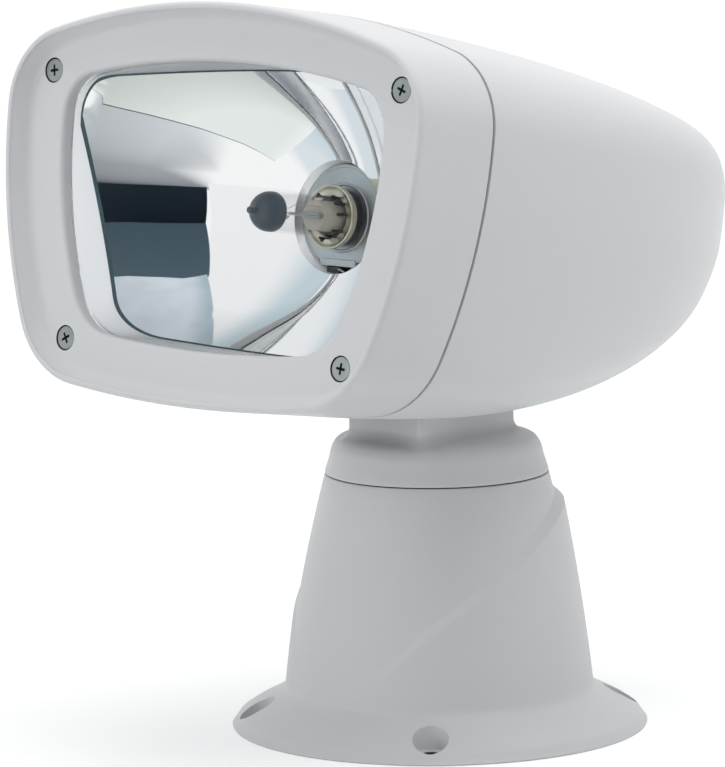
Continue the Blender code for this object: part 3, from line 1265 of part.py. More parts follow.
def build_seals_and_lens():
    gasket = [
        at_depth(rim(0.0011), BEZEL_DEPTH + GAP),
        at_depth(rim(0.0011), BEZEL_DEPTH + SEAM_WIDTH - GAP),
        at_depth(rim(0.0021), BEZEL_DEPTH + SEAM_WIDTH - GAP),
        at_depth(rim(0.0021), BEZEL_DEPTH + GAP),
    ]
    loft("seam_gasket", gasket, RUBBER, HEAD_RAKE, closed=True, smooth=None)

    near = LIP_DEPTH + GAP
    far = near + LENS_GASKET_THICKNESS
    ring = [
        at_depth(window(0.0003), near),
        at_depth(window(0.0003), far),
        at_depth(window(LIP_WALL), far),
        at_depth(window(LIP_WALL), near),
    ]
    loft("lens_gasket", ring, RUBBER, HEAD_RAKE, closed=True, smooth=None)
    head_prism("front_lens", window(LENS_OVERLAP), lens_front(), lens_front() + LENS_THICKNESS, GLASS)


def lens_front():
    return LIP_DEPTH + LENS_GASKET_THICKNESS + 2.0 * GAP


def reflector_rim():
    return lens_front() + LENS_THICKNESS + GAP


def bowl_depth(radius):
    return REFLECTOR_VERTEX - radius * radius / (4.0 * REFLECTOR_FOCUS)


def bowl_ring(share, wall):
    """Ring on the paraboloid, between the bulb's hole and the wall that follows the window."""
    nearest = reflector_rim() + wall + REFLECTOR_EDGE
    ring = []
    for x, up in window(REFLECTOR_MARGIN):
        reach = math.hypot(x, up)
        radius = REFLECTOR_HOLE_RADIUS + (reach - REFLECTOR_HOLE_RADIUS) * share
        slope = radius / (2.0 * REFLECTOR_FOCUS)
        lean = math.hypot(slope, 1.0)
        depth = max(nearest, bowl_depth(radius) + wall / lean)
        scale = (radius + (wall if share == 0.0 else wall * slope / lean)) / reach
        ring.append((x * scale, depth - FACE_REACH, up * scale + OPTIC_HEIGHT))
    return ring


def build_reflector():
    shares = [index / REFLECTOR_RINGS for index in range(REFLECTOR_RINGS + 1)]
    hole = REFLECTOR_HOLE_RADIUS
    wall = REFLECTOR_WALL
    ring_of = window(REFLECTOR_MARGIN)

    def collar(radius, depth):
        return at_depth([(x * radius / math.hypot(x, up), up * radius / math.hypot(x, up))
                         for x, up in ring_of], depth)

    rim_depth = reflector_rim()
    rings = [collar(hole, REFLECTOR_COLLAR_END)]
    rings += [bowl_ring(share, 0.0) for share in shares]
    rings += [at_depth(window(REFLECTOR_MARGIN), rim_depth)]
    rings += [at_depth(window(REFLECTOR_FLANGE), rim_depth)]
    rings += [at_depth(window(REFLECTOR_FLANGE), rim_depth + wall)]
    rings += [at_depth(window(REFLECTOR_MARGIN + wall), rim_depth + wall)]
    rings += [bowl_ring(share, wall) for share in (1.0, 0.66, 0.33, 0.0)]
    rings += [collar(hole + wall, REFLECTOR_COLLAR_END)]
    loft("reflector", rings, MIRROR, HEAD_RAKE, closed=True, smooth=40.0)


def edge_height(outline, x, side):
    """Height of an outline above or below the axis at a sideways place."""
    matches = []
    for (x_a, up_a), (x_b, up_b) in zip(outline, outline[1:] + outline[:1]):
        if min(x_a, x_b) <= x <= max(x_a, x_b) and x_a != x_b:
            matches.append(up_a + (up_b - up_a) * (x - x_a) / (x_b - x_a))
    return max(matches) if side > 0 else min(matches)


def build_lens_clamps():
    """Four clamps screwed behind the bezel's face that press the reflector onto the lens."""
    flange_back = reflector_rim() + REFLECTOR_WALL
    for index, (x, side) in enumerate(CLAMP_PLACES):
        flange_edge = edge_height(window(REFLECTOR_FLANGE), x, side)
        inner = flange_edge - side * CLAMP_BITE
        post_near = flange_edge + side * CLAMP_STANDOFF
        post_far = post_near + side * CLAMP_POST
        low_x, high_x = x - CLAMP_WIDTH / 2.0, x + CLAMP_WIDTH / 2.0
        low, high = min(inner, post_far), max(inner, post_far)
        arm_outline = [(low_x, low), (high_x, low), (high_x, high), (low_x, high)]
        clamp = head_prism(f"lens_clamp_{index + 1}", arm_outline, flange_back + GAP,
                           flange_back + GAP + CLAMP_THICKNESS, ZINC_PLATE, smooth=None)
        low, high = min(post_near, post_far), max(post_near, post_far)
        post_outline = [(low_x, low), (high_x, low), (high_x, high), (low_x, high)]
        post = head_prism(f"lens_clamp_post_{index + 1}", post_outline, BEZEL_FACE + GAP,
                          flange_back + GAP + CLAMP_THICKNESS * 0.5, smooth=None)
        boolean(clamp, post, "UNION")


def lamp_turned(name, profile, material, steps=20, smooth=30.0):
    """A turned piece on the optical axis, from radius and depth stations."""
    closed = profile[0][0] > 0.0 or profile[-1][0] > 0.0
    points = profile if closed else profile[1:-1]
    rings = [at_depth(circle(radius, steps), depth) for radius, depth in points]
    return loft(name, rings, material, HEAD_RAKE, closed=closed, smooth=smooth)


def build_bulb():
    glass_inner = BULB_RADIUS - BULB_GLASS_WALL
    lamp_turned("bulb_glass", [
        (0.0, BULB_GLASS_FRONT),
        (BULB_RADIUS * 0.45, BULB_GLASS_FRONT),
        (BULB_RADIUS * 0.85, BULB_GLASS_FRONT + 0.0022),
        (BULB_RADIUS, BULB_GLASS_FRONT + 0.0060),
        (BULB_RADIUS, BULB_GLASS_REAR),
        (glass_inner, BULB_GLASS_REAR),
        (glass_inner, BULB_GLASS_FRONT + 0.0065),
        (glass_inner * 0.8, BULB_GLASS_FRONT + 0.0032),
        (glass_inner * 0.4, BULB_GLASS_FRONT + 0.0012),
        (0.0, BULB_GLASS_FRONT + 0.0012),
    ], GLASS)
    cap_inner = BULB_RADIUS + GAP
    cap_outer = cap_inner + BULB_CAP_WALL
    lamp_turned("bulb_cap", [
        (0.0, BULB_CAP_FRONT - BULB_NIPPLE),
        (0.0009, BULB_CAP_FRONT - BULB_NIPPLE),
        (0.0013, BULB_CAP_FRONT),
        (cap_outer * 0.50, BULB_CAP_FRONT + 0.0006),
        (cap_outer * 0.85, BULB_CAP_FRONT + 0.0028),
        (cap_outer, BULB_CAP_FRONT + 0.0068),
        (cap_outer, BULB_CAP_REAR),
        (cap_inner, BULB_CAP_REAR),
        (cap_inner, BULB_GLASS_FRONT + 0.0057),
        (BULB_RADIUS * 0.9, BULB_GLASS_FRONT + 0.0020),
        (BULB_RADIUS * 0.5, BULB_GLASS_FRONT - GAP),
        (0.0, BULB_GLASS_FRONT - GAP),
    ], BULB_PAINT)

    flange_rear = BULB_FLANGE_FRONT + BULB_FLANGE_THICKNESS
    collar_bore = BULB_RADIUS + GAP
    flange = lamp_turned("bulb_flange", [
        (collar_bore, BULB_COLLAR_FRONT),
        (BULB_COLLAR_RADIUS, BULB_COLLAR_FRONT),
        (BULB_COLLAR_RADIUS, BULB_FLANGE_FRONT),
        (BULB_FLANGE_RADIUS, BULB_FLANGE_FRONT),
        (BULB_FLANGE_RADIUS, flange_rear),
        (collar_bore, flange_rear),
    ], ZINC_PLATE, steps=28)
    for index, degrees in enumerate((90.0, 210.0, 330.0)):
        turn = math.radians(degrees)
        ux, uy = math.cos(turn), math.sin(turn)
        half = BULB_TAB_WIDTH / 2.0
        outline = []
        for along, across in ((0.018, -half), (BULB_TAB_REACH, -half), (BULB_TAB_REACH, half), (0.018, half)):
            outline.append((ux * along - uy * across, uy * along + ux * across))
        tab = head_prism(f"flange_tab_{index + 1}", outline, REFLECTOR_COLLAR_END + GAP,
                         REFLECTOR_COLLAR_END + GAP + BULB_FLANGE_THICKNESS, smooth=None)
        leg = []
        half -= 0.0006
        for along, across in ((0.0195, -half), (0.0212, -half), (0.0212, half), (0.0195, half)):
            leg.append((ux * along - uy * across, uy * along + ux * across))
        riser = head_prism(f"flange_riser_{index + 1}", leg, BULB_FLANGE_FRONT + 0.0006,
                           REFLECTOR_COLLAR_END + GAP + BULB_FLANGE_THICKNESS * 0.7, smooth=None)
        boolean(flange, riser, "UNION")
        boolean(flange, tab, "UNION")

    base_front = flange_rear + GAP
    base_rear = base_front + BULB_BASE_LENGTH
    base = lamp_turned("bulb_base", [
        (0.0, base_front),
        (BULB_BASE_RADIUS - 0.001, base_front),
        (BULB_BASE_RADIUS, base_front + 0.001),
        (BULB_BASE_RADIUS, base_rear - 0.001),
        (BULB_BASE_RADIUS - 0.001, base_rear),
        (0.0, base_rear),
    ], BULB_CERAMIC)
    stem = lamp_turned("bulb_stem", [
        (0.0, BULB_GLASS_REAR - 0.008),
        (BULB_STEM_RADIUS, BULB_GLASS_REAR - 0.008),
        (BULB_STEM_RADIUS, base_front + 0.002),
        (0.0, base_front + 0.002),
    ], None)
    boolean(base, stem, "UNION")
    for index, (x, up, wide) in enumerate(blade_places()):
        boolean(base, blade(f"bulb_blade_{index + 1}", x, up, wide, base_rear - 0.002,
                            base_rear + BLADE_LENGTH, 0.0), "UNION")

    build_filament()
    build_connector(base_rear)
    build_spring_clip(base_front)


def blade_places():
    return ((0.0, 0.0085, True), (-0.0085, -0.001, False), (0.0085, -0.001, False))


def blade(name, x, up, wide, near, far, clearance):
    half_wide = BLADE_WIDTH / 2.0 + clearance
    half_thin = BLADE_THICKNESS / 2.0 + clearance
    half_x, half_up = (half_wide, half_thin) if wide else (half_thin, half_wide)
    outline = [(x - half_x, up - half_up), (x + half_x, up - half_up),
               (x + half_x, up + half_up), (x - half_x, up + half_up)]
    return head_prism(name, outline, near, far, smooth=None)


def build_filament():
    """Two posts, a coil envelope and the dipped-beam shield, all carried on the glass stem."""
    root = BULB_GLASS_REAR - 0.008 - GAP
    front = BULB_CAP_REAR - 0.002
    filament = head_prism("bulb_filament", rounded_rectangle(-0.0048, 0.0048, -0.0016, 0.0016, 0.0012, 3),
                          root - 0.0016, root, FILAMENT_METAL)
    for index, x in enumerate((-BULB_POST_OFFSET, BULB_POST_OFFSET)):
        post = head_prism(f"filament_post_{index + 1}", circle(BULB_POST_RADIUS, 10, (x, 0.0)),
                          front if index == 0 else front + 0.008, root - 0.0008)
        boolean(filament, post, "UNION")
    coil = prism("filament_coil", circle(BULB_COIL_RADIUS, 12), -BULB_POST_OFFSET, BULB_POST_OFFSET, "X")
    coil.parent = HEAD_RAKE
    coil.location = (0.0, front + 0.0105 - FACE_REACH, OPTIC_HEIGHT)
    boolean(filament, coil, "UNION")
    arc = [polar(BULB_SHIELD_RADIUS, math.radians(200.0 + 20.0 * index)) for index in range(8)]
    arc += [polar(BULB_SHIELD_RADIUS - 0.0006, math.radians(340.0 - 20.0 * index)) for index in range(8)]
    shield = head_prism("filament_shield", arc, front + 0.001, root - 0.0008)
    boolean(filament, shield, "UNION")


def build_connector(base_rear):
    near = base_rear + GAP
    half = CONNECTOR_SIZE / 2.0
    outline = rounded_rectangle(-half, half, -half, half, CONNECTOR_CORNER)
    body = head_prism("bulb_connector", outline, near, near + CONNECTOR_LENGTH, BLACK_NYLON)
    for index, (x, up, wide) in enumerate(blade_places()):
        slot = blade(f"connector_slot_{index + 1}", x, up, wide, near - 0.001, near + BLADE_LENGTH + GAP, GAP)
        boolean(body, slot)


def build_spring_clip(base_front):
    """Bent wire that presses the bulb's tabs onto the reflector's collar."""
    depth = REFLECTOR_COLLAR_END + 2.0 * GAP + BULB_FLANGE_THICKNESS + CLIP_WIRE_RADIUS
    reach = REFLECTOR_HOLE_RADIUS + REFLECTOR_WALL + 0.0030
    wide = BULB_BASE_RADIUS + 0.0035
    path = [
        (-wide, -reach),
        (-wide, 0.010),
        (-wide * 0.72, reach - 0.003),
        (wide * 0.72, reach - 0.003),
        (wide, 0.010),
        (wide, -reach),
    ]
    curve = bpy.data.curves.new("clip_path", "CURVE")
    curve.dimensions = "3D"
    curve.bevel_depth = CLIP_WIRE_RADIUS
    curve.bevel_resolution = 2
    curve.use_fill_caps = True
    spline = curve.splines.new("POLY")
    spline.points.add(len(path) - 1)
    for point, (x, up) in zip(spline.points, path):
        point.co = (x, depth - FACE_REACH, up + OPTIC_HEIGHT, 1.0)
    wire = bpy.data.objects.new("clip_path", curve)
    CUTTERS.objects.link(wire)
    solid = bpy.data.meshes.new_from_object(wire.evaluated_get(bpy.context.evaluated_depsgraph_get()))
    bpy.data.objects.remove(wire, do_unlink=True)
    bm = bmesh.new()
    bm.from_mesh(solid)
    bmesh.ops.remove_doubles(bm, verts=bm.verts, dist=0.00001)
    finish("bulb_spring_clip", bm, STEEL, HEAD_RAKE, smooth=40.0)


build_base_housing()
build_base_plate()
build_pan_bearing()
build_pan_shaft_group()
build_pan_drive()
build_turret_cap()
build_tilt_axle_group()
build_head_frame()
build_tilt_drive()
build_front_bezel()
build_bezel_screws()
build_rear_shell()
build_seals_and_lens()
build_reflector()
build_lens_clamps()
build_bulb()
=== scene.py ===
import json
import math

import bmesh
import bpy
from mathutils import Matrix, Vector


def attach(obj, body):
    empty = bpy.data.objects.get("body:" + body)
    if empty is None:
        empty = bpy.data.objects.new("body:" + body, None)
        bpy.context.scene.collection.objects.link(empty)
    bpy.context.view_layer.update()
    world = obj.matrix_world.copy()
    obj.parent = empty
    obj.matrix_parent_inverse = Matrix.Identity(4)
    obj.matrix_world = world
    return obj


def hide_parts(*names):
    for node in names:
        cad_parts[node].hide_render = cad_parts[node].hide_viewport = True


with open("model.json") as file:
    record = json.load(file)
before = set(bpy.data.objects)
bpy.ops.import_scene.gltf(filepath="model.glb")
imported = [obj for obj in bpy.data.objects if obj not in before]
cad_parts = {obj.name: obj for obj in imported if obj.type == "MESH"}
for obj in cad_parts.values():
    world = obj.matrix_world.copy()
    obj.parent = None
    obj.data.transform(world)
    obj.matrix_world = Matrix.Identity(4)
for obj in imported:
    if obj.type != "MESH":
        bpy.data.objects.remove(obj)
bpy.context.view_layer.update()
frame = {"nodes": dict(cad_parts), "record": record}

# Sizes shared with the solids, in metres
PIVOT = 0.168
RAKE = math.radians(8.304)
FACE_REACH = 0.1331
OPTIC_HEIGHT = 0.0354
BASE_TURN = math.radians(-5.0)
FOOT = 0.0185
SEAM = 0.1037
SEAM_LOW = 0.1034
SEAM_HIGH = 0.1039
BEZEL_BACK = 0.0324
SHELL_FRONT = 0.0336
LENS_FRONT = 0.0062
LENS_BACK = 0.0087
BEZEL_LIP = 0.0051
REFLECTOR_LIP = 0.0060
REFLECTOR_RIM = 0.0090


# Places in the lamp head: x sideways, depth behind the bezel's face, up from the optical axis
def at(x, depth, up):
    y, z = depth - FACE_REACH, up + OPTIC_HEIGHT
    return Vector((
        x,
        y * math.cos(RAKE) + z * math.sin(RAKE),
        -y * math.sin(RAKE) + z * math.cos(RAKE) + PIVOT,
    ))


def polar(radius, angle):
    return radius * math.cos(angle), radius * math.sin(angle)


def smooth_step(value):
    value = min(1.0, max(0.0, value))
    return value * value * (3.0 - 2.0 * value)


def curve_through(places, values, place, flat_ends=False):
    """Smooth curve through values at rising places, read at one place."""
    last = len(places) - 1
    slopes = []
    for i in range(len(places)):
        a, b = max(0, i - 1), min(last, i + 1)
        slopes.append((values[b] - values[a]) / (places[b] - places[a]))
    if flat_ends:
        slopes[0] = slopes[last] = 0.0
    span = max(i for i in range(last) if places[i] <= place + 1e-12)
    width = places[span + 1] - places[span]
    t = (place - places[span]) / width
    s, e = values[span], values[span + 1]
    u, v = slopes[span] * width, slopes[span + 1] * width
    return (s * (2 * t**3 - 3 * t**2 + 1) + u * (t**3 - 2 * t**2 + t)
            + e * (3 * t**2 - 2 * t**3) + v * (t**3 - t**2))


# Mesh builders
def make(name, bm, body, material, nodes=(), angle=30.0):
    """A named piece that rides a body and may stand in for some of the solids."""
    bmesh.ops.recalc_face_normals(bm, faces=bm.faces)
    if bm.calc_volume(signed=True) < 0.0:
        bmesh.ops.reverse_faces(bm, faces=bm.faces)
    mesh = bpy.data.meshes.new(name)
    bm.to_mesh(mesh)
    bm.free()
    mesh.shade_smooth()
    mesh.set_sharp_from_angle(angle=math.radians(angle))
    mesh.materials.append(material)
    piece = bpy.data.objects.new(name, mesh)
    bpy.context.scene.collection.objects.link(piece)
    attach(piece, body)
    if nodes:
        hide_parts(*nodes)
    return piece


def skin(bm, rings, closed=False):
    """Faces between rings of equal length, closed into a loop or capped at both ends."""
    rows = [[bm.verts.new(p) for p in ring] for ring in rings]
    pairs = list(zip(rows, rows[1:]))
    if closed:
        pairs.append((rows[-1], rows[0]))
    for near, far in pairs:
        count = len(near)
        for i in range(count):
            j = (i + 1) % count
            bm.faces.new((near[i], near[j], far[j], far[i]))
    if not closed:
        bm.faces.new(rows[0])
        bm.faces.new(rows[-1])


def turned(bm, profile, place, steps, closed=False):
    """Rings of (radius, station). place turns x, y and a station into a point."""
    rings = []
    for radius, station in profile:
        ring = []
        for i in range(steps):
            x, y = polar(radius, 2.0 * math.pi * i / steps)
            ring.append(place(x, y, station))
        rings.append(ring)
    skin(bm, rings, closed=closed)


def upright(x, y, z):
    return Vector((x, y, z))


def in_head(x, up, depth):
    return at(x, depth, up)


def cut(piece, cutters, angle):
    """Boolean every cutter out of a piece, keep the result as its mesh and mark its sharp edges."""
    for tool in cutters:
        modifier = piece.modifiers.new(tool.name, "BOOLEAN")
        modifier.operation = "DIFFERENCE"
        modifier.solver = "EXACT"
        modifier.object = tool
    graph = bpy.context.evaluated_depsgraph_get()
    mesh = bpy.data.meshes.new_from_object(piece.evaluated_get(graph))
    piece.modifiers.clear()
    old = piece.data
    piece.data = mesh
    bpy.data.meshes.remove(old)
    for tool in cutters:
        bpy.data.objects.remove(tool, do_unlink=True)
    mesh.shade_smooth()
    mesh.set_sharp_from_angle(angle=math.radians(angle))


def as_cutter(name, bm):
    bmesh.ops.recalc_face_normals(bm, faces=bm.faces)
    mesh = bpy.data.meshes.new(name)
    bm.to_mesh(mesh)
    bm.free()
    tool = bpy.data.objects.new(name, mesh)
    bpy.context.scene.collection.objects.link(tool)
    return tool


def ring_cutter(name, rings):
    bm = bmesh.new()
    skin(bm, rings)
    return as_cutter(name, bm)


def turned_cutter(name, profile, place, steps=48):
    bm = bmesh.new()
    turned(bm, profile, place, steps)
    return as_cutter(name, bm)


def paint_shade(piece, x, up, shallow, deep, reach):
    """Painted shade: the second material, black, for the faces between two depths and within a reach of an
    axis in the head.
    """
    start = at(x, 0.0, up)
    axis = at(x, 1.0, up) - start
    for polygon in piece.data.polygons:
        off = polygon.center - start
        depth = off.dot(axis)
        if shallow < depth < deep and (off - axis * depth).length < reach:
            polygon.material_index = 1


# Outlines of the head, from the same arcs as the solids
ARC_STEPS = (14, 14, 16, 14, 12)


def fillet_centre(a, b, radius, toward):
    """Centre of a fillet inside two arcs, given as (x, y, radius), on the side of a point."""
    (ax, ay, ar), (bx, by, br) = a, b
    span = math.hypot(bx - ax, by - ay)
    near, far = ar - radius, br - radius
    along = (near * near - far * far + span * span) / (2.0 * span)
    across = math.sqrt(near * near - along * along)
    ux, uy = (bx - ax) / span, (by - ay) / span
    options = (
        (ax + ux * along - uy * across, ay + uy * along + ux * across),
        (ax + ux * along + uy * across, ay + uy * along - ux * across),
    )
    return min(options, key=lambda p: math.hypot(p[0] - toward[0], p[1] - toward[1]))


def arc_outline(top, top_arc, side, level, side_arc, bottom, bottom_arc, upper, lower, inset):
    """Closed outline of a top, two side and a bottom arc, with upper and lower fillets between them."""
    top_c = (0.0, top - top_arc, top_arc)
    side_c = (side - side_arc, level, side_arc)
    bottom_c = (0.0, bottom + bottom_arc, bottom_arc)
    high = fillet_centre(top_c, side_c, upper, (side, top))
    low = fillet_centre(side_c, bottom_c, lower, (side, bottom))

    def heading(c, p):
        return math.atan2(p[1] - c[1], p[0] - c[0])

    turns = (math.pi / 2, heading(top_c, high), heading(side_c, high), heading(side_c, low),
             heading(bottom_c, low), -math.pi / 2)
    arcs = (top_c, (*high, upper), side_c, (*low, lower), bottom_c)
    half = []
    for (x, y, r), start, end, count in zip(arcs, turns, turns[1:], ARC_STEPS):
        for i in range(count):
            turn = start + (end - start) * i / count
            half.append((x + (r - inset) * math.cos(turn), y + (r - inset) * math.sin(turn)))
    half.append((0.0, bottom + inset))
    return half + [(-x, y) for x, y in half[-2:0:-1]]


def rim(inset):
    """The head's outer outline, drawn in by an inset."""
    return arc_outline(0.0784, 0.313, 0.1118, 0.0332, 0.215, -0.0777, 0.565, 0.032, 0.038, inset)


def window(spread):
    """The window's outline, spread outwards."""
    return arc_outline(0.0557, 0.375, 0.0858, 0.0292, 0.170, -0.0558, 0.560, 0.017, 0.024, -spread)


def head_ring(outline, depth):
    return [at(x, depth, up) for x, up in outline]


def rounded_rectangle(left, right, low, high, corner, steps=10):
    centres = ((right - corner, low + corner, -90.0), (right - corner, high - corner, 0.0),
               (left + corner, high - corner, 90.0), (left + corner, low + corner, 180.0))
    points = []
    for x, y, start in centres:
        for i in range(steps + 1):
            turn = math.radians(start + 90.0 * i / steps)
            points.append((x + corner * math.cos(turn), y + corner * math.sin(turn)))
    return points


# Materials
def new_material(name):
    material = bpy.data.materials.new(name)
    material.use_nodes = True
    return material


def shader_of(material):
    return material.node_tree.nodes["Principled BSDF"]


def noise_in(tree, scale, detail):
    """Noise in the piece's own coordinates."""
    where = tree.nodes.new("ShaderNodeTexCoord")
    noise = tree.nodes.new("ShaderNodeTexNoise")
    noise.inputs["Scale"].default_value = scale
    noise.inputs["Detail"].default_value = detail
    tree.links.new(where.outputs["Object"], noise.inputs["Vector"])
    return noise.outputs["Fac"]


def mapped(tree, value, out_of, into, kind="LINEAR"):
    """A value carried over from one range to another."""
    spread = tree.nodes.new("ShaderNodeMapRange")
    spread.interpolation_type = kind
    spread.inputs["From Min"].default_value, spread.inputs["From Max"].default_value = out_of
    spread.inputs["To Min"].default_value, spread.inputs["To Max"].default_value = into
    tree.links.new(value, spread.inputs["Value"])
    return spread.outputs["Result"]


def uneven_gloss(material, low, high, scale, detail=4.0, out_of=(0.35, 0.65)):
    """Roughness that drifts between two values."""
    tree = material.node_tree
    spread = mapped(tree, noise_in(tree, scale, detail), out_of, (low, high))
    tree.links.new(spread, shader_of(material).inputs["Roughness"])


def by_facing(material, socket, blend, out_of, into):
    """A socket of the shader that follows how far the surface turns away."""
    tree = material.node_tree
    layer = tree.nodes.new("ShaderNodeLayerWeight")
    layer.inputs["Blend"].default_value = blend
    spread = mapped(tree, layer.outputs["Facing"], out_of, into)
    tree.links.new(spread, shader_of(material).inputs[socket])


def tint(material, dark, light, scale):
    """Colour that drifts gently between two close tones."""
    tree = material.node_tree
    ramp = tree.nodes.new("ShaderNodeValToRGB")
    low, high = ramp.color_ramp.elements
    low.position, low.color = 0.35, (*dark, 1.0)
    high.position, high.color = 0.65, (*light, 1.0)
    tree.links.new(noise_in(tree, scale, 5.0), ramp.inputs["Fac"])
    tree.links.new(ramp.outputs["Color"], shader_of(material).inputs["Base Color"])


def bumpy(material, scale, strength, distance, detail=3.0):
    tree = material.node_tree
    bump = tree.nodes.new("ShaderNodeBump")
    bump.inputs["Strength"].default_value = strength
    bump.inputs["Distance"].default_value = distance
    tree.links.new(noise_in(tree, scale, detail), bump.inputs["Height"])
    tree.links.new(bump.outputs["Normal"], shader_of(material).inputs["Normal"])


def moulded(name, dark, light, rough_low, rough_high, bump_scale, bump_depth):
    """Plastic, paint, rubber or ceramic."""
    material = new_material(name)
    shader_of(material).inputs["Specular IOR Level"].default_value = 0.5
    tint(material, dark, light, 9.0)
    uneven_gloss(material, rough_low, rough_high, 14.0, 2.0, (0.2, 0.8))
    bumpy(material, bump_scale, 0.25, bump_depth)
    return material


def metal(name, dark, light, rough_low, rough_high):
    material = new_material(name)
    shader_of(material).inputs["Metallic"].default_value = 1.0
    tint(material, dark, light, 60.0)
    uneven_gloss(material, rough_low, rough_high, 120.0)
    bumpy(material, 1200.0, 0.12, 0.00005)
    return material


HEAD_WHITE = moulded("head_gloss_white", (0.765, 0.772, 0.785), (0.785, 0.792, 0.804),
                     0.30, 0.36, 900.0, 0.00003)
BASE_WHITE = moulded("base_satin_white", (0.700, 0.712, 0.725), (0.725, 0.736, 0.748),
                     0.40, 0.48, 700.0, 0.00005)
BLACK_RUBBER = moulded("black_rubber", (0.012, 0.012, 0.013), (0.022, 0.022, 0.023),
                       0.60, 0.80, 500.0, 0.00006)
STEEL = metal("screw_steel", (0.40, 0.40, 0.395), (0.54, 0.535, 0.525), 0.28, 0.42)
ZINC = metal("zinc_plate", (0.40, 0.41, 0.43), (0.52, 0.53, 0.55), 0.30, 0.45)
FLANGE_METAL = metal("lamp_flange_metal", (0.50, 0.53, 0.54), (0.62, 0.65, 0.66), 0.34, 0.46)
BRASS = metal("brass", (0.55, 0.40, 0.18), (0.66, 0.50, 0.24), 0.28, 0.40)
TUNGSTEN = metal("filament_wire", (0.22, 0.21, 0.21), (0.36, 0.35, 0.34), 0.30, 0.45)
ACETAL = moulded("acetal", (0.70, 0.69, 0.62), (0.78, 0.77, 0.70), 0.40, 0.52, 400.0, 0.00003)
# The black nylon material also paints shade: in the base's screw holes, the bezel's screw seats, the screws'
# crosses, the gap behind the bulb's collar and the clip's slot.
BLACK_NYLON_AND_SHADE = moulded("black_nylon", (0.020, 0.020, 0.022), (0.035, 0.035, 0.038),
                      0.45, 0.60, 500.0, 0.00004)
COLLAR_METAL = metal("lamp_collar_metal", (0.70, 0.66, 0.53), (0.86, 0.81, 0.68), 0.34, 0.46)
CERAMIC = moulded("lamp_base_ceramic", (0.62, 0.58, 0.48), (0.74, 0.70, 0.60),
                  0.45, 0.60, 400.0, 0.00005)
CAP_PAINT = moulded("bulb_cap_paint", (0.085, 0.115, 0.140), (0.105, 0.135, 0.165),
                    0.38, 0.50, 600.0, 0.00003)

MIRROR = new_material("reflector_mirror")
shader_of(MIRROR).inputs["Metallic"].default_value = 1.0
tint(MIRROR, (0.945, 0.955, 0.96), (0.960, 0.968, 0.972), 6.0)
uneven_gloss(MIRROR, 0.015, 0.035, 14.0)
bumpy(MIRROR, 28.0, 0.30, 0.00030, 1.0)

# The reflector's straight side walls and rim are lacquered. The dark line where they meet the bowl is a
# painted reflection: a dark teal colour on the mirror's last band
LACQUER = moulded("reflector_wall_lacquer", (0.84, 0.855, 0.88), (0.87, 0.885, 0.905),
                  0.22, 0.30, 300.0, 0.00002)
by_facing(LACQUER, "Metallic", 0.5, (0.10, 0.28), (0.95, 0.10))
FOLD = moulded("reflector_fold_painted_reflection", (0.020, 0.045, 0.055), (0.035, 0.065, 0.075),
               0.20, 0.30, 300.0, 0.00002)

LENS_GLASS = new_material("lens_glass")
tint(LENS_GLASS, (0.045, 0.055, 0.055), (0.060, 0.070, 0.070), 5.0)
uneven_gloss(LENS_GLASS, 0.02, 0.04, 12.0)
by_facing(LENS_GLASS, "Alpha", 0.5, (0.40, 1.0), (0.014, 0.45))

BULB_GLASS = new_material("bulb_glass")
tint(BULB_GLASS, (0.90, 0.88, 0.83), (0.95, 0.93, 0.88), 60.0)
uneven_gloss(BULB_GLASS, 0.02, 0.05, 40.0)
by_facing(BULB_GLASS, "Alpha", 0.35, (0.0, 1.0), (0.03, 0.16))

BY_SLOT = {
    "cast_white": BASE_WHITE, "gelcoat_white": HEAD_WHITE, "black_rubber": BLACK_RUBBER,
    "stainless_steel": STEEL, "zinc_plate": ZINC, "acetal": ACETAL, "gear_acetal": ACETAL,
    "brass": BRASS, "clear_glass": LENS_GLASS, "reflector_mirror": MIRROR, "bulb_cap_paint": CAP_PAINT,
    "tungsten": TUNGSTEN, "ceramic": CERAMIC, "black_nylon": BLACK_NYLON_AND_SHADE,
}
for entry in frame["record"]["subparts"]:
    node = frame["nodes"][entry["node"]]
    node.data.materials.clear()
    node.data.materials.append(BY_SLOT[entry["material_slot"]])


# Base housing: a cone over a flange, whose lower part stands proud behind a swept edge
CONE_DATUM = 0.017
HOLE_CIRCLE = 0.075
HOLE_ANGLES = (-50.5, 50.5, 129.5, 230.5)


def wall_share(z):
    return (z - CONE_DATUM) / (SEAM - CONE_DATUM)


def cone_radius(z):
    share = wall_share(z)
    return 0.0626 - 0.01117 * share - 0.00597 * share * share


def skirt_radius(z):
    share = wall_share(z)
    return 0.0629 - 0.00924 * share - 0.00427 * share * share


def lengths_along(points):
    """Distance from the first point to each point, along the straight pieces between them."""
    lengths = [0.0]
    for (r_a, z_a), (r_b, z_b) in zip(points, points[1:]):
        lengths.append(lengths[-1] + math.hypot(r_b - r_a, z_b - z_a))
    return lengths


FLANGE_POINTS = (
    (0.0848, 0.0006), (0.0840, 0.0016), (0.0826, 0.0036), (0.0821, 0.0043), (0.0815, 0.0049),
    (0.0760, 0.0084), (0.0700, 0.0114), (0.0660, 0.0136), (0.0641, 0.0150), (0.0632, 0.0164),
    (cone_radius(FOOT) + 0.0003, FOOT),
)
FLANGE_LENGTHS = lengths_along(FLANGE_POINTS)
EDGE_ANGLES = (0.0, 20.0, 45.0, 90.0, 125.0, 180.0)
EDGE_LEVELS = (0.0260, 0.0280, 0.0490, 0.0775, 0.0915, 0.0955)
EDGE_HALF = 0.0019
EDGE_ROUND = 0.05
EDGE_FADE_START = 10.0
EDGE_FADE_SPAN = 24.0
BASE_STEPS = 240


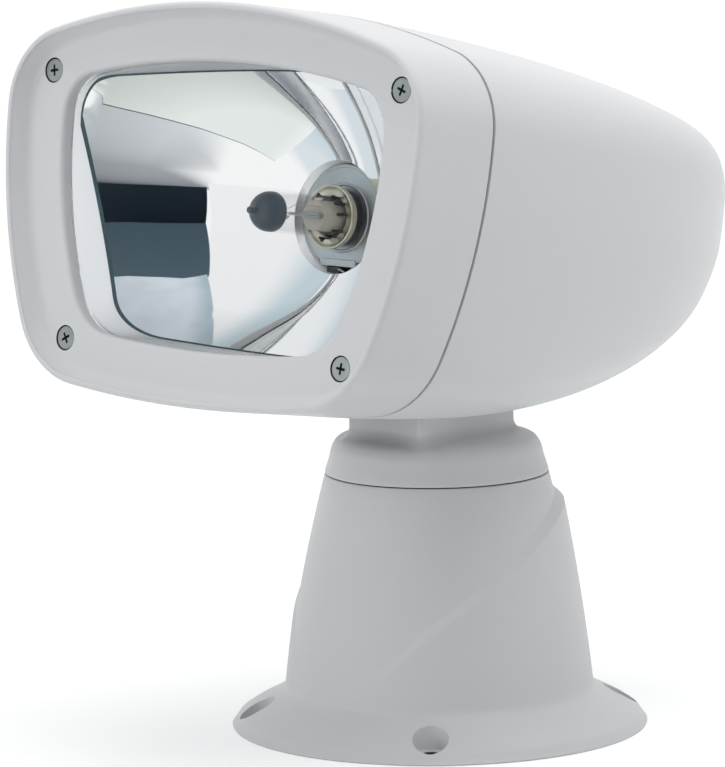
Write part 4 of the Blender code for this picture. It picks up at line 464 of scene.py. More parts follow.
def base_directions():
    """For each step round the base: degrees off its front, and the direction's x and y."""
    for i in range(BASE_STEPS):
        degrees = 360.0 * i / BASE_STEPS
        turn = math.radians(degrees) + BASE_TURN
        yield min(degrees, 360.0 - degrees), math.sin(turn), -math.cos(turn)


def base_ring(radius, level):
    return [Vector((radius * x, radius * y, level)) for _, x, y in base_directions()]


def flange_ring(share):
    """Ring of the flange's top, from its rim at 0 to its root at 1."""
    station = FLANGE_LENGTHS[-1] * share
    radius = curve_through(FLANGE_LENGTHS, [point[0] for point in FLANGE_POINTS], station)
    return base_ring(radius, curve_through(FLANGE_LENGTHS, [point[1] for point in FLANGE_POINTS], station))


def chamfer(level):
    """Share of the skirt left at a level of the swept edge: a straight fall with its two corners rounded."""
    for corner, slope in ((0.0, 1.0), (1.0, -1.0)):
        off = (level - corner) * slope
        if off < EDGE_ROUND:
            bend = max(0.0, off + EDGE_ROUND) ** 2 / (4.0 * EDGE_ROUND)
            return 1.0 - bend if corner == 0.0 else bend
    return 1.0 - level


def side_ring(level):
    """Level runs from -1 at the foot, over 0 and 1 at the swept edge, to 2 at the seam."""
    ring = []
    for off_front, x, y in base_directions():
        edge = curve_through(EDGE_ANGLES, EDGE_LEVELS, off_front, True)
        low, high = edge - EDGE_HALF, edge + EDGE_HALF
        if level <= 0.0:
            z = low + (low - FOOT) * level
        elif level >= 1.0:
            z = high + (SEAM_LOW - high) * (level - 1.0)
        else:
            z = low + (high - low) * level
        fade = smooth_step((off_front - EDGE_FADE_START) / EDGE_FADE_SPAN)
        blend = fade * chamfer((z - low) / (high - low))
        if level <= 0.0:
            blend += (1.0 - fade) * smooth_step(-level)
        radius = cone_radius(z) + (skirt_radius(z) - cone_radius(z)) * blend
        ring.append(Vector((radius * x, radius * y, z)))
    return ring


bm = bmesh.new()
rings = [base_ring(0.0845, 0.0)]
rings += [flange_ring(i / 48.0) for i in range(48)]
rings += [side_ring(-1.0 + i / 14.0) for i in range(14)]
rings += [side_ring(level) for level in (-0.012, 0.0, 0.06, 0.12, 0.2, 0.35, 0.5, 0.65, 0.8, 0.88,
                                         0.94, 1.0, 1.012)]
rings += [side_ring(1.0 + (i + 1) / 14.0) for i in range(13)]
rings += [side_ring(1.992), base_ring(cone_radius(SEAM_LOW) - 0.0001, SEAM_LOW - 0.0001),
          base_ring(cone_radius(SEAM_LOW) - 0.0004, SEAM_LOW)]
skin(bm, rings)
base = make("base_housing_skin", bm, "base", BASE_WHITE, ("base_housing",), 35.0)
tools = [turned_cutter("cavity", [
    (0.0185, SEAM_LOW + 0.002), (0.0188, 0.1012), (0.0160, 0.1012), (0.0160, 0.0635), (0.0200, 0.0635),
    (0.0200, 0.0966), (0.0436, 0.0966), (0.0495, 0.074), (0.0560, 0.044), (0.057, 0.023), (0.057, 0.003),
    (0.0663, 0.003), (0.0663, -0.002),
], upright, 96)]
for degrees in HOLE_ANGLES:
    x, y = polar(HOLE_CIRCLE, math.radians(degrees))

    def on_hole(px, py, z, x=x, y=y):
        return Vector((x + px, y + py, z))

    tools.append(turned_cutter("dish", [
        (0.0086, 0.030), (0.0073, 0.0122), (0.0072, 0.0030), (0.0034, 0.0029), (0.00325, 0.0026),
        (0.00325, -0.002),
    ], on_hole))
cut(base, tools, 35.0)

# Painted shade: the walls of the screw holes, below the floor of their counterbores, take the black material
# in place of the shade inside the holes
base.data.materials.append(BLACK_NYLON_AND_SHADE)
for polygon in base.data.polygons:
    x, y, z = polygon.center
    if z < 0.0028 and abs(math.hypot(x, y) - HOLE_CIRCLE) < 0.0045 and abs(polygon.normal.z) < 0.9:
        polygon.material_index = 1

bm = bmesh.new()
seal = cone_radius(SEAM) - 0.0009
turned(bm, [(seal, SEAM_HIGH), (seal + 0.0001, SEAM), (seal, SEAM_LOW), (seal - 0.005, SEAM_LOW),
            (seal - 0.005, SEAM_HIGH)], upright, 144, closed=True)
make("pan_seal_skin", bm, "turret", BLACK_RUBBER, ("pan_seal",))


# Turret cap with its neck: one skin that runs from the neck's top over a fillet and out to the seam
NECK_FILLET = 0.0045
NECK_TOP = 0.149
CAP_FOOT = cone_radius(SEAM)
CAP_POINTS = (
    (0.0, 0.1207), (0.0100, 0.12062), (0.0214, 0.1204), (0.0300, 0.12005), (0.0356, 0.11955),
    (0.0384, 0.1189), (0.0404, 0.1178), (0.0417, 0.1162), (0.0427, 0.1142), (0.0437, 0.1102),
    (0.0447, 0.1070), (CAP_FOOT, 0.1046),
)
CAP_LENGTHS = lengths_along(CAP_POINTS)


def cap_point(length):
    """Radius and height on the cap's profile at a distance from its top."""
    radius = curve_through(CAP_LENGTHS, [point[0] for point in CAP_POINTS], length)
    return radius, curve_through(CAP_LENGTHS, [point[1] for point in CAP_POINTS], length)


def cap_length(radius):
    """Distance along the cap's profile at which it reaches a radius."""
    low, high = 0.0, CAP_LENGTHS[-1]
    for _ in range(40):
        middle = (low + high) / 2.0
        if cap_point(middle)[0] < radius:
            low = middle
        else:
            high = middle
    return low


def neck_outline(spread):
    """Rounded rectangle of the neck, with points along its sides as well as its corners."""
    corners = rounded_rectangle(-0.0208 - spread, 0.0208 + spread, -0.0311 - spread, 0.0258 + spread,
                                0.0028 + spread, 12)
    outline = []
    for (x_a, y_a), (x_b, y_b) in zip(corners, corners[1:] + corners[:1]):
        pieces = 16 if math.hypot(x_b - x_a, y_b - y_a) > 0.015 else 1
        outline += [(x_a + (x_b - x_a) * i / pieces, y_a + (y_b - y_a) * i / pieces) for i in range(pieces)]
    return outline


bm = bmesh.new()
rings = [[Vector((x, y, NECK_TOP)) for x, y in neck_outline(-0.0004)],
         [Vector((x, y, NECK_TOP - 0.0004)) for x, y in neck_outline(0.0)]]
for i in range(13):
    turn = math.pi / 2.0 * i / 12.0
    rise = NECK_FILLET * (1.0 - math.sin(turn))
    rings.append([Vector((x, y, cap_point(cap_length(math.hypot(x, y)))[1] + rise))
                  for x, y in neck_outline(NECK_FILLET * (1.0 - math.cos(turn)))])
starts = [(x, y, math.hypot(x, y), cap_length(math.hypot(x, y))) for x, y in neck_outline(NECK_FILLET)]
for i in range(1, 29):
    ring = []
    for x, y, reach, length in starts:
        radius, z = cap_point(length + (CAP_LENGTHS[-1] - length) * i / 28.0)
        ring.append(Vector((x * radius / reach, y * radius / reach, z)))
    rings.append(ring)
cap_rim = rings[-1]
for inset, z in ((0.0001, SEAM_HIGH + 0.0001), (0.0003, SEAM_HIGH)):
    scale = (CAP_FOOT - inset) / CAP_FOOT
    rings.append([Vector((p.x * scale, p.y * scale, z)) for p in cap_rim])
skin(bm, rings)
LUG_RADIUS = 0.014
lug_outline = [(-LUG_RADIUS, -0.022), (LUG_RADIUS, -0.022)]
lug_outline += [polar(LUG_RADIUS, math.pi * i / 32.0) for i in range(33)]
for side in (-1.0, 1.0):
    lug = []
    for x, shrink in ((0.0118, 0.0003), (0.0121, 0.0), (0.0205, 0.0), (0.0208, 0.0003)):
        scale = 1.0 - shrink / LUG_RADIUS
        lug.append([Vector((side * x, y * scale, z * scale + PIVOT)) for y, z in lug_outline])
    skin(bm, lug)
make("turret_cap_skin", bm, "turret", BASE_WHITE, ("turret_cap",), 40.0)


# Front bezel: a profile of (kind, offset, depth), where R insets the rim and W spreads the window
def arc_profile(kind, centre_offset, centre_depth, radius, start, end, count):
    """Arc of the profile between two angles in degrees."""
    points = []
    for i in range(count + 1):
        turn = math.radians(start + (end - start) * i / count)
        points.append((kind, centre_offset + radius * math.cos(turn), centre_depth + radius * math.sin(turn)))
    return points


bezel_profile = [("W", 0.0, BEZEL_LIP), ("W", 0.0, 0.0035)]
bezel_profile += arc_profile("W", 0.0018, 0.0018, 0.0018, 180.0, 270.0, 6)
bezel_profile += [("W", 0.0030, 0.0)]
bezel_profile += [("R", 0.0080, 0.0), ("R", 0.0070, -0.00003), ("R", 0.0064, -0.00035)]
bezel_profile += [("R", 0.0058, -0.0010), ("R", 0.0045, -0.0034), ("R", 0.0034, -0.0055)]
bezel_profile += [("R", 0.0029, -0.0064)]
bezel_profile += arc_profile("R", 0.0021, -0.0058, 0.0017, -40.0, -140.0, 6)[1:]
bezel_profile += [("R", 0.0003, -0.0060), ("R", 0.0001, -0.0050), ("R", 0.0, -0.0035)]
bezel_profile += [("R", -0.0001, 0.008), ("R", -0.0002, 0.020), ("R", -0.0003, 0.0316)]
bezel_profile += [("R", -0.0002, 0.0322), ("R", 0.0002, BEZEL_BACK)]
bezel_profile += [("R", 0.0022, BEZEL_BACK), ("R", 0.0028, -0.0010), ("R", 0.0088, 0.0030)]
bezel_profile += [("W", 0.0048, 0.0030), ("W", 0.0048, BEZEL_LIP)]
bm = bmesh.new()
rings = []
for kind, offset, depth in bezel_profile:
    rings.append(head_ring(rim(offset) if kind == "R" else window(offset), depth))
skin(bm, rings, closed=True)
bezel = make("front_bezel_skin", bm, "head", HEAD_WHITE, ("front_bezel",), 50.0)

# Each screw's node, its place on the face and the turn of its cross in radians
SCREWS = (
    ("bezel_screw_2", -0.0935, 0.0487, 0.15), ("bezel_screw_1", 0.0935, 0.0487, -0.35),
    ("bezel_screw_4", -0.0746, -0.0563, 0.5), ("bezel_screw_3", 0.0746, -0.0563, -0.1),
)


def round_screw(x, up):
    """Places about a screw's axis, for turned."""
    def place(px, pz, depth):
        return at(x + px, depth, up + pz)

    return place


SEAT_PROFILE = ((0.0055, -0.0020), (0.00505, 0.0), (0.0049, 0.0004), (0.0049, 0.0006), (0.0023, 0.0032),
                (0.0023, 0.0062))
cut(bezel, [turned_cutter("seat", SEAT_PROFILE, round_screw(x, up)) for _, x, up, _ in SCREWS], 50.0)
# Painted shade: the walls of the screw seats take the black material, standing in for the shade in the gap
# round each screw head
bezel.data.materials.append(BLACK_NYLON_AND_SHADE)
for _, x, up, _ in SCREWS:
    paint_shade(bezel, x, up, 0.00015, 0.0060, 0.0050)


def cross_ring(x, up, turn, depth, length, width):
    """Turned rectangle about a screw's axis, for the cross in its head."""
    c, s = polar(0.5, turn)
    return [at(x + a * c - b * s, depth, up + a * s + b * c)
            for a, b in ((-length, -width), (length, -width), (length, width), (-length, width))]


for node, x, up, twist in SCREWS:
    bm = bmesh.new()
    turned(bm, [
        (0.0001, 0.00022), (0.0043, 0.00022), (0.0045, 0.00032), (0.0046, 0.0005), (0.0046, 0.0007),
        (0.0020, 0.0031), (0.0020, 0.0490), (0.0012, 0.0500), (0.0001, 0.0500),
    ], round_screw(x, up), 64)
    screw = make(f"{node}_skin", bm, "head", STEEL, (node,), 25.0)
    cut(screw, [ring_cutter("cross", [cross_ring(x, up, turn, -0.001, 0.0058, 0.00116),
                                      cross_ring(x, up, turn, 0.0019, 0.00261, 0.00087)])
                for turn in (twist, twist + math.pi / 2.0)], 25.0)
    # Painted shade: the faces of the cross recess take the black material, standing in for the shade inside
    # it
    screw.data.materials.append(BLACK_NYLON_AND_SHADE)
    paint_shade(screw, x, up, 0.0003, 0.0024, 0.00295)


# Rear shell
SHELL_LENGTH = 0.2505
SHELL_LEVEL = 0.0062
SHELL_WALL = 0.0025
HALF_WIDTH = 0.1118
HALF_ABOVE = 0.0722
HALF_BELOW = 0.0839
NOSE_START = 0.88
WIDTH_TAPER = (1.60, 1.98)
UPPER_TAPER = (1.50, 4.70)
LOWER_TAPER = (2.03, 1.38)


def taper(share, powers):
    return (1.0 - share ** powers[0]) ** (1.0 / powers[1])


def shell_ring(share, wall):
    """The rim's outline at a share of the way back, where it narrows and ends in a rounded nose."""
    width = taper(share, WIDTH_TAPER)
    nose = max(0.0, (share - NOSE_START) / (1.0 - NOSE_START))
    upper = taper(share, UPPER_TAPER) * math.sqrt(1.0 - nose * nose)
    lower = taper(share, LOWER_TAPER)
    rounding = smooth_step(nose)
    level = SHELL_LEVEL * (1.0 - share)
    depth = SHELL_FRONT + (SHELL_LENGTH - wall) * share
    ring = []
    for x, up in rim(wall - 0.0003):
        rise = up - SHELL_LEVEL
        half_height = (HALF_ABOVE if rise > 0.0 else HALF_BELOW) - wall
        reach = math.hypot(x / (HALF_WIDTH - wall), rise / half_height)
        scale = 1.0 + rounding * (1.0 / reach - 1.0)
        ring.append(at(x * scale * width, depth, level + rise * scale * (upper if rise > 0.0 else lower)))
    return ring


def shell_shares(count):
    """Shares from the front to just short of the nose's tip, closer together towards the tip."""
    return [0.998 * (1.0 - (1.0 - i / count) ** 2.2) for i in range(count + 1)]


bm = bmesh.new()
outer = [shell_ring(share, 0.0) for share in reversed(shell_shares(64))]
inner = [shell_ring(share, SHELL_WALL) for share in shell_shares(24)]
skin(bm, outer + inner)
shell = make("rear_shell_skin", bm, "head", HEAD_WHITE, ("rear_shell",), 50.0)
slot_outline = rounded_rectangle(-0.0222, 0.0222, -0.050, 0.042, 0.004)
slot_rings = [[Vector((x, y, z)) for x, y in slot_outline] for z in (0.099, 0.145)]
cut(shell, [ring_cutter("slot", slot_rings)], 50.0)

bm = bmesh.new()
front, rear = BEZEL_BACK + 0.0002, SHELL_FRONT - 0.0002
skin(bm, [head_ring(rim(0.0008), front), head_ring(rim(0.0008), rear),
          head_ring(rim(0.0021), rear), head_ring(rim(0.0021), front)], closed=True)
make("seam_gasket_skin", bm, "head", BLACK_RUBBER, ("seam_gasket",))

bm = bmesh.new()
skin(bm, [head_ring(window(0.0008), BEZEL_LIP), head_ring(window(0.0008), REFLECTOR_LIP),
          head_ring(window(0.0030), REFLECTOR_LIP), head_ring(window(0.0030), BEZEL_LIP)], closed=True)
make("lens_gasket_skin", bm, "head", BLACK_RUBBER, ("lens_gasket",))

bm = bmesh.new()
skin(bm, [head_ring(window(0.0), LENS_FRONT), head_ring(window(0.0003), LENS_FRONT + 0.0003),
          head_ring(window(0.0003), LENS_BACK - 0.0003), head_ring(window(0.0), LENS_BACK)])
make("front_lens_skin", bm, "head", LENS_GLASS, ("front_lens",), 20.0)


# Reflector: a paraboloid bowl, a narrow fold and straight side walls up to the window
FOCUS = 0.0318
VERTEX = 0.0743
HOLE = 0.0226
REFLECTOR_WALL = 0.0015
BOWL_STEPS = 35
FOLD_START = 0.983
FIRST_BOWL_BAND = 2
FOLD_BAND = FIRST_BOWL_BAND + BOWL_STEPS


def bowl_ring(share, wall):
    """Ring of the bowl, from its hole at 0 to the window's outline at 1. A wall moves it to the back."""
    nearest = REFLECTOR_RIM + wall + 0.0006
    ring = []
    for x, up in window(0.0004):
        reach = math.hypot(x, up)
        radius = HOLE + (reach - HOLE) * share
        slope = radius / (2.0 * FOCUS)
        lean = math.hypot(slope, 1.0)
        depth = max(nearest, VERTEX - radius * radius / (4.0 * FOCUS) + wall / lean)
        scale = (radius + (wall if share == 0.0 else wall * slope / lean)) / reach
        ring.append(at(x * scale, depth, up * scale))
    return ring


def collar_ring(radius, depth):
    """Circle whose points lie in the same directions as the window's."""
    ring = []
    for x, up in window(0.0004):
        reach = math.hypot(x, up)
        ring.append(at(x * radius / reach, depth, up * radius / reach))
    return ring


bm = bmesh.new()
rings = [collar_ring(0.0217, 0.0785), collar_ring(0.0217, 0.0741)]
rings += [bowl_ring(i / 36.0, 0.0) for i in range(BOWL_STEPS)]
rings += [bowl_ring(FOLD_START, 0.0), bowl_ring(1.0, 0.0)]
rings += [head_ring(window(spread), depth) for spread, depth in (
    (0.0004, 0.0063), (0.0006, REFLECTOR_LIP), (0.0012, REFLECTOR_LIP), (0.0014, 0.0063),
    (0.0014, REFLECTOR_RIM),
    (0.0046, REFLECTOR_RIM), (0.0046, REFLECTOR_RIM + REFLECTOR_WALL),
    (0.0019, REFLECTOR_RIM + REFLECTOR_WALL))]
rings += [bowl_ring(1.0 - i / 12.0, REFLECTOR_WALL) for i in range(13)]
rings += [collar_ring(HOLE + REFLECTOR_WALL, 0.0785)]
skin(bm, rings, closed=True)
reflector = make("reflector_skin", bm, "head", MIRROR, ("reflector",), 25.0)
reflector.data.materials.append(LACQUER)
reflector.data.materials.append(FOLD)
ring_size = len(window(0.0004))
# The bowl's last band, at the fold, gets the painted dark reflection. The rim and walls get the lacquer.
for face in reflector.data.polygons:
    band = face.index // ring_size
    if band == FOLD_BAND:
        face.material_index = 2
    elif not FIRST_BOWL_BAND <= band < FOLD_BAND:
        face.material_index = 1


# Bulb
bm = bmesh.new()
turned(bm, [
    (0.0001, 0.0262), (0.0024, 0.0264), (0.0044, 0.0272), (0.0060, 0.0286), (0.0070, 0.0301),
    (0.0076, 0.0319), (0.0077, 0.0336), (0.0080, 0.0346), (0.0080, 0.0700), (0.0072, 0.0700),
    (0.0072, 0.0346), (0.0069, 0.0324), (0.0062, 0.0304), (0.0050, 0.0288), (0.0030, 0.0276),
    (0.0001, 0.0272),
], in_head, 64)
make("bulb_glass_skin", bm, "head", BULB_GLASS, ("bulb_glass",), 60.0)

bm = bmesh.new()
turned(bm, [
    (0.0001, 0.0207), (0.0009, 0.0207), (0.0013, 0.0210), (0.0013, 0.0236), (0.0017, 0.0244),
    (0.0028, 0.0250), (0.0044, 0.0258), (0.0059, 0.0270), (0.0070, 0.0286), (0.0077, 0.0304),
    (0.0079, 0.0320), (0.0079, 0.0338), (0.0078, 0.0341), (0.0077, 0.0341), (0.0077, 0.0322),
    (0.0072, 0.0300), (0.0062, 0.0284), (0.0046, 0.0269), (0.0026, 0.0261), (0.0001, 0.0258),
], in_head, 64)
make("bulb_cap_skin", bm, "head", CAP_PAINT, ("bulb_cap",), 50.0)

# Lamp flange: a flat ring with a stamped rim, a short tab below, and the collar that holds the glass
FLANGE_STEPS = 120
FLANGE_FLAT = -0.0165


def flange_outline(radius):
    """Circle that is flattened at the bottom."""
    points = []
    for i in range(FLANGE_STEPS):
        x, up = polar(radius, 2.0 * math.pi * i / FLANGE_STEPS)
        if up < FLANGE_FLAT:
            up = max(up, FLANGE_FLAT - 0.35 * (abs(up) + FLANGE_FLAT))
        points.append((x, up))
    return points


bm = bmesh.new()
skin(bm, [head_ring(flange_outline(radius), depth) for radius, depth in (
    (0.0104, 0.0755), (0.0104, 0.0745), (0.0107, 0.0742), (0.0126, 0.0742), (0.0130, 0.0738),
    (0.0136, 0.0738), (0.0140, 0.0742), (0.0198, 0.0742), (0.0202, 0.0739), (0.0209, 0.0739),
    (0.0213, 0.0741), (0.0215, 0.0745), (0.0215, 0.0755))], closed=True)
make("bulb_flange_skin", bm, "head", FLANGE_METAL, ("bulb_flange",), 30.0)

bm = bmesh.new()
tab = rounded_rectangle(-0.0100, 0.0095, -0.0195, -0.0163, 0.0010, 4)
skin(bm, [head_ring(tab, 0.0756), head_ring(tab, 0.0746),
          head_ring(rounded_rectangle(-0.0097, 0.0092, -0.0192, -0.0166, 0.0008, 4), 0.0736)])
make("bulb_flange_tab", bm, "head", FLANGE_METAL)

bm = bmesh.new()
turned(bm, [
    (0.0082, 0.0712), (0.0082, 0.0676), (0.0086, 0.0673), (0.0104, 0.0673), (0.0112, 0.0670),
    (0.0117, 0.0664), (0.0122, 0.0661), (0.0126, 0.0662), (0.0128, 0.0666), (0.0126, 0.0684),
    (0.0118, 0.0700), (0.0100, 0.0700),
], in_head, 96, closed=True)
make("bulb_collar", bm, "head", COLLAR_METAL, (), 35.0)

# Painted shade: a black ring behind the collar stands in for the shade in the gap between the collar and the
# flange
bm = bmesh.new()
turned(bm, [
    (0.0090, 0.0752), (0.0090, 0.0696), (0.0120, 0.0696), (0.0112, 0.0722), (0.0106, 0.0743),
    (0.0104, 0.0752),
], in_head, 72, closed=True)
make("bulb_collar_gap_shade", bm, "head", BLACK_NYLON_AND_SHADE)

# Crimped feet that grip the glass where it enters the collar, each at an angle and with a length
FOOT_REACH = 0.0092
bm = bmesh.new()
for degrees, long in ((62.0, 0.0016), (38.0, 0.0024), (8.0, 0.0026), (-40.0, 0.0026), (-66.0, 0.0016),
                      (-92.0, 0.0022), (118.0, 0.0020), (172.0, 0.0024), (-140.0, 0.0024)):
    c, s = polar(1.0, math.radians(degrees))
    foot = []
    for depth, width, inner, outer in (
            (0.0618, 0.0004, -0.0011, -0.0006), (0.0624, 0.0006, -0.0011, -0.0002),
            (0.0636, 0.0006, -0.0011, long - 0.0012), (0.0650, 0.0006, -0.0009, -0.0002),
            (0.0674, 0.0006, -0.0009, -0.0002)):
        corners = rounded_rectangle(FOOT_REACH + inner, FOOT_REACH + outer, -width, width, 0.0003, 2)
        foot.append([at(a * c - b * s, depth, a * s + b * c) for a, b in corners])
    skin(bm, foot)
make("bulb_collar_feet", bm, "head", BLACK_NYLON_AND_SHADE, (), 40.0)


# Filament: three thin wires, a coil between two of them, the beam shield near the cap and the glass bead
def wire_along(bm, points, thick, sides=10):
    """Round wire through points in the head's frame, given as (x, up, depth)."""
    rings = []
    for i, point in enumerate(points):
        before, after = points[max(i - 1, 0)], points[min(i + 1, len(points) - 1)]
        run = (Vector(after) - Vector(before)).normalized()
        aside = Vector((0.0, 1.0, 0.0)) if abs(run.y) < 0.9 else Vector((1.0, 0.0, 0.0))
        across = run.cross(aside).normalized()
        over = run.cross(across)
        ring = []
        for j in range(sides):
            turn = 2.0 * math.pi * j / sides
            x, up, depth = Vector(point) + (across * math.cos(turn) + over * math.sin(turn)) * thick
            ring.append(at(x, depth, up))
        rings.append(ring)
    skin(bm, rings)


bm = bmesh.new()
wire_along(bm, [(-0.0035, 0.0, 0.0365), (-0.0035, 0.0, 0.0569)], 0.00018)
wire_along(bm, [(0.0035, 0.0, 0.0445), (0.0035, 0.0, 0.0569)], 0.00018)
wire_along(bm, [(0.0035, 0.0018, 0.0390), (0.0046, 0.0036, 0.0420), (0.0046, 0.0036, 0.0569)], 0.00014)
COIL_HALF = 0.0033
COIL_RADIUS = 0.0006
COIL_DEPTH = 0.0470
COIL_POINTS = 120
coil = []
for i in range(COIL_POINTS + 1):
    deeper, up = polar(COIL_RADIUS, 2.0 * math.pi * i / 10.0)
    coil.append((COIL_HALF * (2.0 * i / COIL_POINTS - 1.0), up, COIL_DEPTH + deeper))
wire_along(bm, coil, 0.00011, 6)
bead = rounded_rectangle(-0.0048, 0.0048, -0.0014, 0.0014, 0.0012, 4)
skin(bm, [head_ring(bead, 0.0556), head_ring(bead, 0.0572)])
shield = [polar(0.0026, math.radians(200.0 + 10.0 * i)) for i in range(15)]
shield += [polar(0.0023, math.radians(340.0 - 10.0 * i)) for i in range(15)]
skin(bm, [head_ring(shield, 0.0375), head_ring(shield, 0.0415)])
make("bulb_filament_skin", bm, "head", STEEL, ("bulb_filament",), 40.0)

bm = bmesh.new()
turned(bm, [
    (0.0006, 0.0344), (0.0008, 0.0347), (0.0008, 0.0382), (0.0011, 0.0387), (0.0012, 0.0394),
    (0.0009, 0.0401), (0.0003, 0.0404),
], in_head, 20)
make("bulb_pin", bm, "head", CAP_PAINT, (), 40.0)

# Spring clip's hook, in front of a black block that paints the shade of a slot under the flange
bm = bmesh.new()
clip_outline = rounded_rectangle(-0.0042, 0.0023, -0.0222, -0.0196, 0.0006, 4)
skin(bm, [head_ring(clip_outline, 0.0722), head_ring(clip_outline, 0.0750)])
make("clip_slot_shade", bm, "head", BLACK_NYLON_AND_SHADE, (), 40.0)

HOOK_RADIUS = 0.0005
HOOK_DEPTH = 0.0722
hook = []
for x, up in ((0.0020, -0.0204), (0.0040, -0.0208), (0.0059, -0.0217), (0.0075, -0.0209),
              (0.0093, -0.0197), (0.0120, -0.0190)):
    ring = [polar(HOOK_RADIUS, 2.0 * math.pi * i / 12.0) for i in range(12)]
    hook.append([at(x, HOOK_DEPTH + deeper, up + higher) for deeper, higher in ring])
bm = bmesh.new()
skin(bm, hook)
make("clip_hook", bm, "head", STEEL, (), 60.0)


# Studio: a floor and a world that a camera, a mirror or glass sees as white
def seen_directly(tree):
    """1 for rays from the camera, a mirror or glass, and 0 for the light that falls on the object."""
    path = tree.nodes.new("ShaderNodeLightPath")
    value = path.outputs["Is Camera Ray"]
    for kind in ("Is Glossy Ray", "Is Transmission Ray"):
        larger = tree.nodes.new("ShaderNodeMath")
        larger.operation = "MAXIMUM"
        tree.links.new(value, larger.inputs[0])
        tree.links.new(path.outputs[kind], larger.inputs[1])
        value = larger.outputs[0]
    return value


floor_material = new_material("studio_floor")
tree = floor_material.node_tree
tree.nodes.clear()
out = tree.nodes.new("ShaderNodeOutputMaterial")
add = tree.nodes.new("ShaderNodeAddShader")
diffuse = tree.nodes.new("ShaderNodeBsdfDiffuse")
diffuse.inputs["Color"].default_value = (0.82, 0.82, 0.82, 1.0)
glow = tree.nodes.new("ShaderNodeEmission")

# The floor glows less near the object, where its shadow falls
where = tree.nodes.new("ShaderNodeTexCoord")
distance = tree.nodes.new("ShaderNodeVectorMath")
distance.operation = "LENGTH"
tree.links.new(where.outputs["Object"], distance.inputs[0])
strength = mapped(tree, distance.outputs["Value"], (0.25, 1.8), (0.42, 0.68), "SMOOTHSTEP")
product = tree.nodes.new("ShaderNodeMath")
product.operation = "MULTIPLY"
tree.links.new(seen_directly(tree), product.inputs[0])
tree.links.new(strength, product.inputs[1])
tree.links.new(product.outputs[0], glow.inputs["Strength"])
tree.links.new(diffuse.outputs[0], add.inputs[0])
tree.links.new(glow.outputs[0], add.inputs[1])
tree.links.new(add.outputs[0], out.inputs["Surface"])

floor_mesh = bpy.data.meshes.new("floor")
floor_mesh.from_pydata([(-12, -12, 0), (12, -12, 0), (12, 12, 0), (-12, 12, 0)], [], [(0, 1, 2, 3)])
floor = bpy.data.objects.new("floor", floor_mesh)
bpy.context.scene.collection.objects.link(floor)
floor_mesh.materials.append(floor_material)

world = bpy.data.worlds.new("studio")
bpy.context.scene.world = world
world.use_nodes = True
tree = world.node_tree
tree.nodes.clear()
out = tree.nodes.new("ShaderNodeOutputWorld")
lit = tree.nodes.new("ShaderNodeBackground")
lit.inputs["Color"].default_value = (0.97, 0.985, 1.0, 1.0)
lit.inputs["Strength"].default_value = 0.43
seen = tree.nodes.new("ShaderNodeBackground")
seen.inputs["Color"].default_value = (1.0, 1.0, 1.0, 1.0)
seen.inputs["Strength"].default_value = 1.0
mix = tree.nodes.new("ShaderNodeMixShader")
tree.links.new(seen_directly(tree), mix.inputs["Fac"])
tree.links.new(lit.outputs[0], mix.inputs[1])
tree.links.new(seen.outputs[0], mix.inputs[2])
tree.links.new(mix.outputs[0], out.inputs["Surface"])


def area_light(name, location, target, size, power):
    """A lamp that lights surfaces but isn't itself seen in the mirror."""
    data = bpy.data.lights.new(name, "AREA")
    data.shape = "RECTANGLE"
    data.size = size
    data.size_y = size
    data.energy = power
    light = bpy.data.objects.new(name, data)
    light.location = location
    light.rotation_euler = (Vector(target) - Vector(location)).to_track_quat("-Z", "Y").to_euler()
    light.visible_glossy = False
    bpy.context.scene.collection.objects.link(light)
    return light


area_light("overhead_softbox", (0.25, 0.10, 1.60), (0.0, 0.0, 0.15), 1.6, 15.0)
area_light("left_fill", (-1.35, -2.00, 0.75), (0.0, 0.0, 0.15), 1.2, 10.5)
area_light("rear_fill", (0.95, 2.10, 0.70), (0.0, 0.0, 0.15), 1.2, 1.5)
# This lamp lights only the reflector, whose left wall is bright in the photograph
wall_fill = area_light("wall_fill", (1.60, -1.50, 0.45), (0.0, -0.13, 0.20), 0.5, 38.0)
wall_fill.light_linking.receiver_collection = bpy.data.collections.new("lit_by_wall_fill")
wall_fill.light_linking.receiver_collection.objects.link(reflector)


# Studio flags: boards and paper that only glossy surfaces show
def glowing(name, near, far, fade=None, streaks=0.0):
    """Colour that runs along the flag, and may fade across it, as (start, stop, second colour)."""
    material = new_material(name)
    nodes, links = material.node_tree.nodes, material.node_tree.links
    nodes.clear()
    out = nodes.new("ShaderNodeOutputMaterial")
    light = nodes.new("ShaderNodeEmission")
    where = nodes.new("ShaderNodeTexCoord")
    parts = nodes.new("ShaderNodeSeparateXYZ")
    ramp = nodes.new("ShaderNodeValToRGB")
    ramp.color_ramp.elements[0].color = (*near, 1.0)
    ramp.color_ramp.elements[1].color = (*far, 1.0)
    links.new(where.outputs["UV"], parts.inputs["Vector"])
    links.new(parts.outputs["Y"], ramp.inputs["Fac"])
    colour = ramp.outputs["Color"]
    if fade:
        start, stop, second = fade
        amount = mapped(material.node_tree, parts.outputs["X"], (start, stop), (0.0, 1.0), "SMOOTHSTEP")
        blend = nodes.new("ShaderNodeMix")
        blend.data_type = "RGBA"
        blend.inputs["B"].default_value = (*second, 1.0)
        links.new(amount, blend.inputs["Factor"])
        links.new(colour, blend.inputs["A"])
        colour = blend.outputs["Result"]
    links.new(colour, light.inputs["Color"])
    if streaks:
        noise = nodes.new("ShaderNodeTexNoise")
        noise.inputs["Scale"].default_value = 9.0
        links.new(where.outputs["UV"], noise.inputs["Vector"])
        strength = mapped(material.node_tree, noise.outputs["Fac"], (0.3, 0.7), (1.0 - streaks, 1.0))
        links.new(strength, light.inputs["Strength"])
    links.new(light.outputs[0], out.inputs["Surface"])
    return material


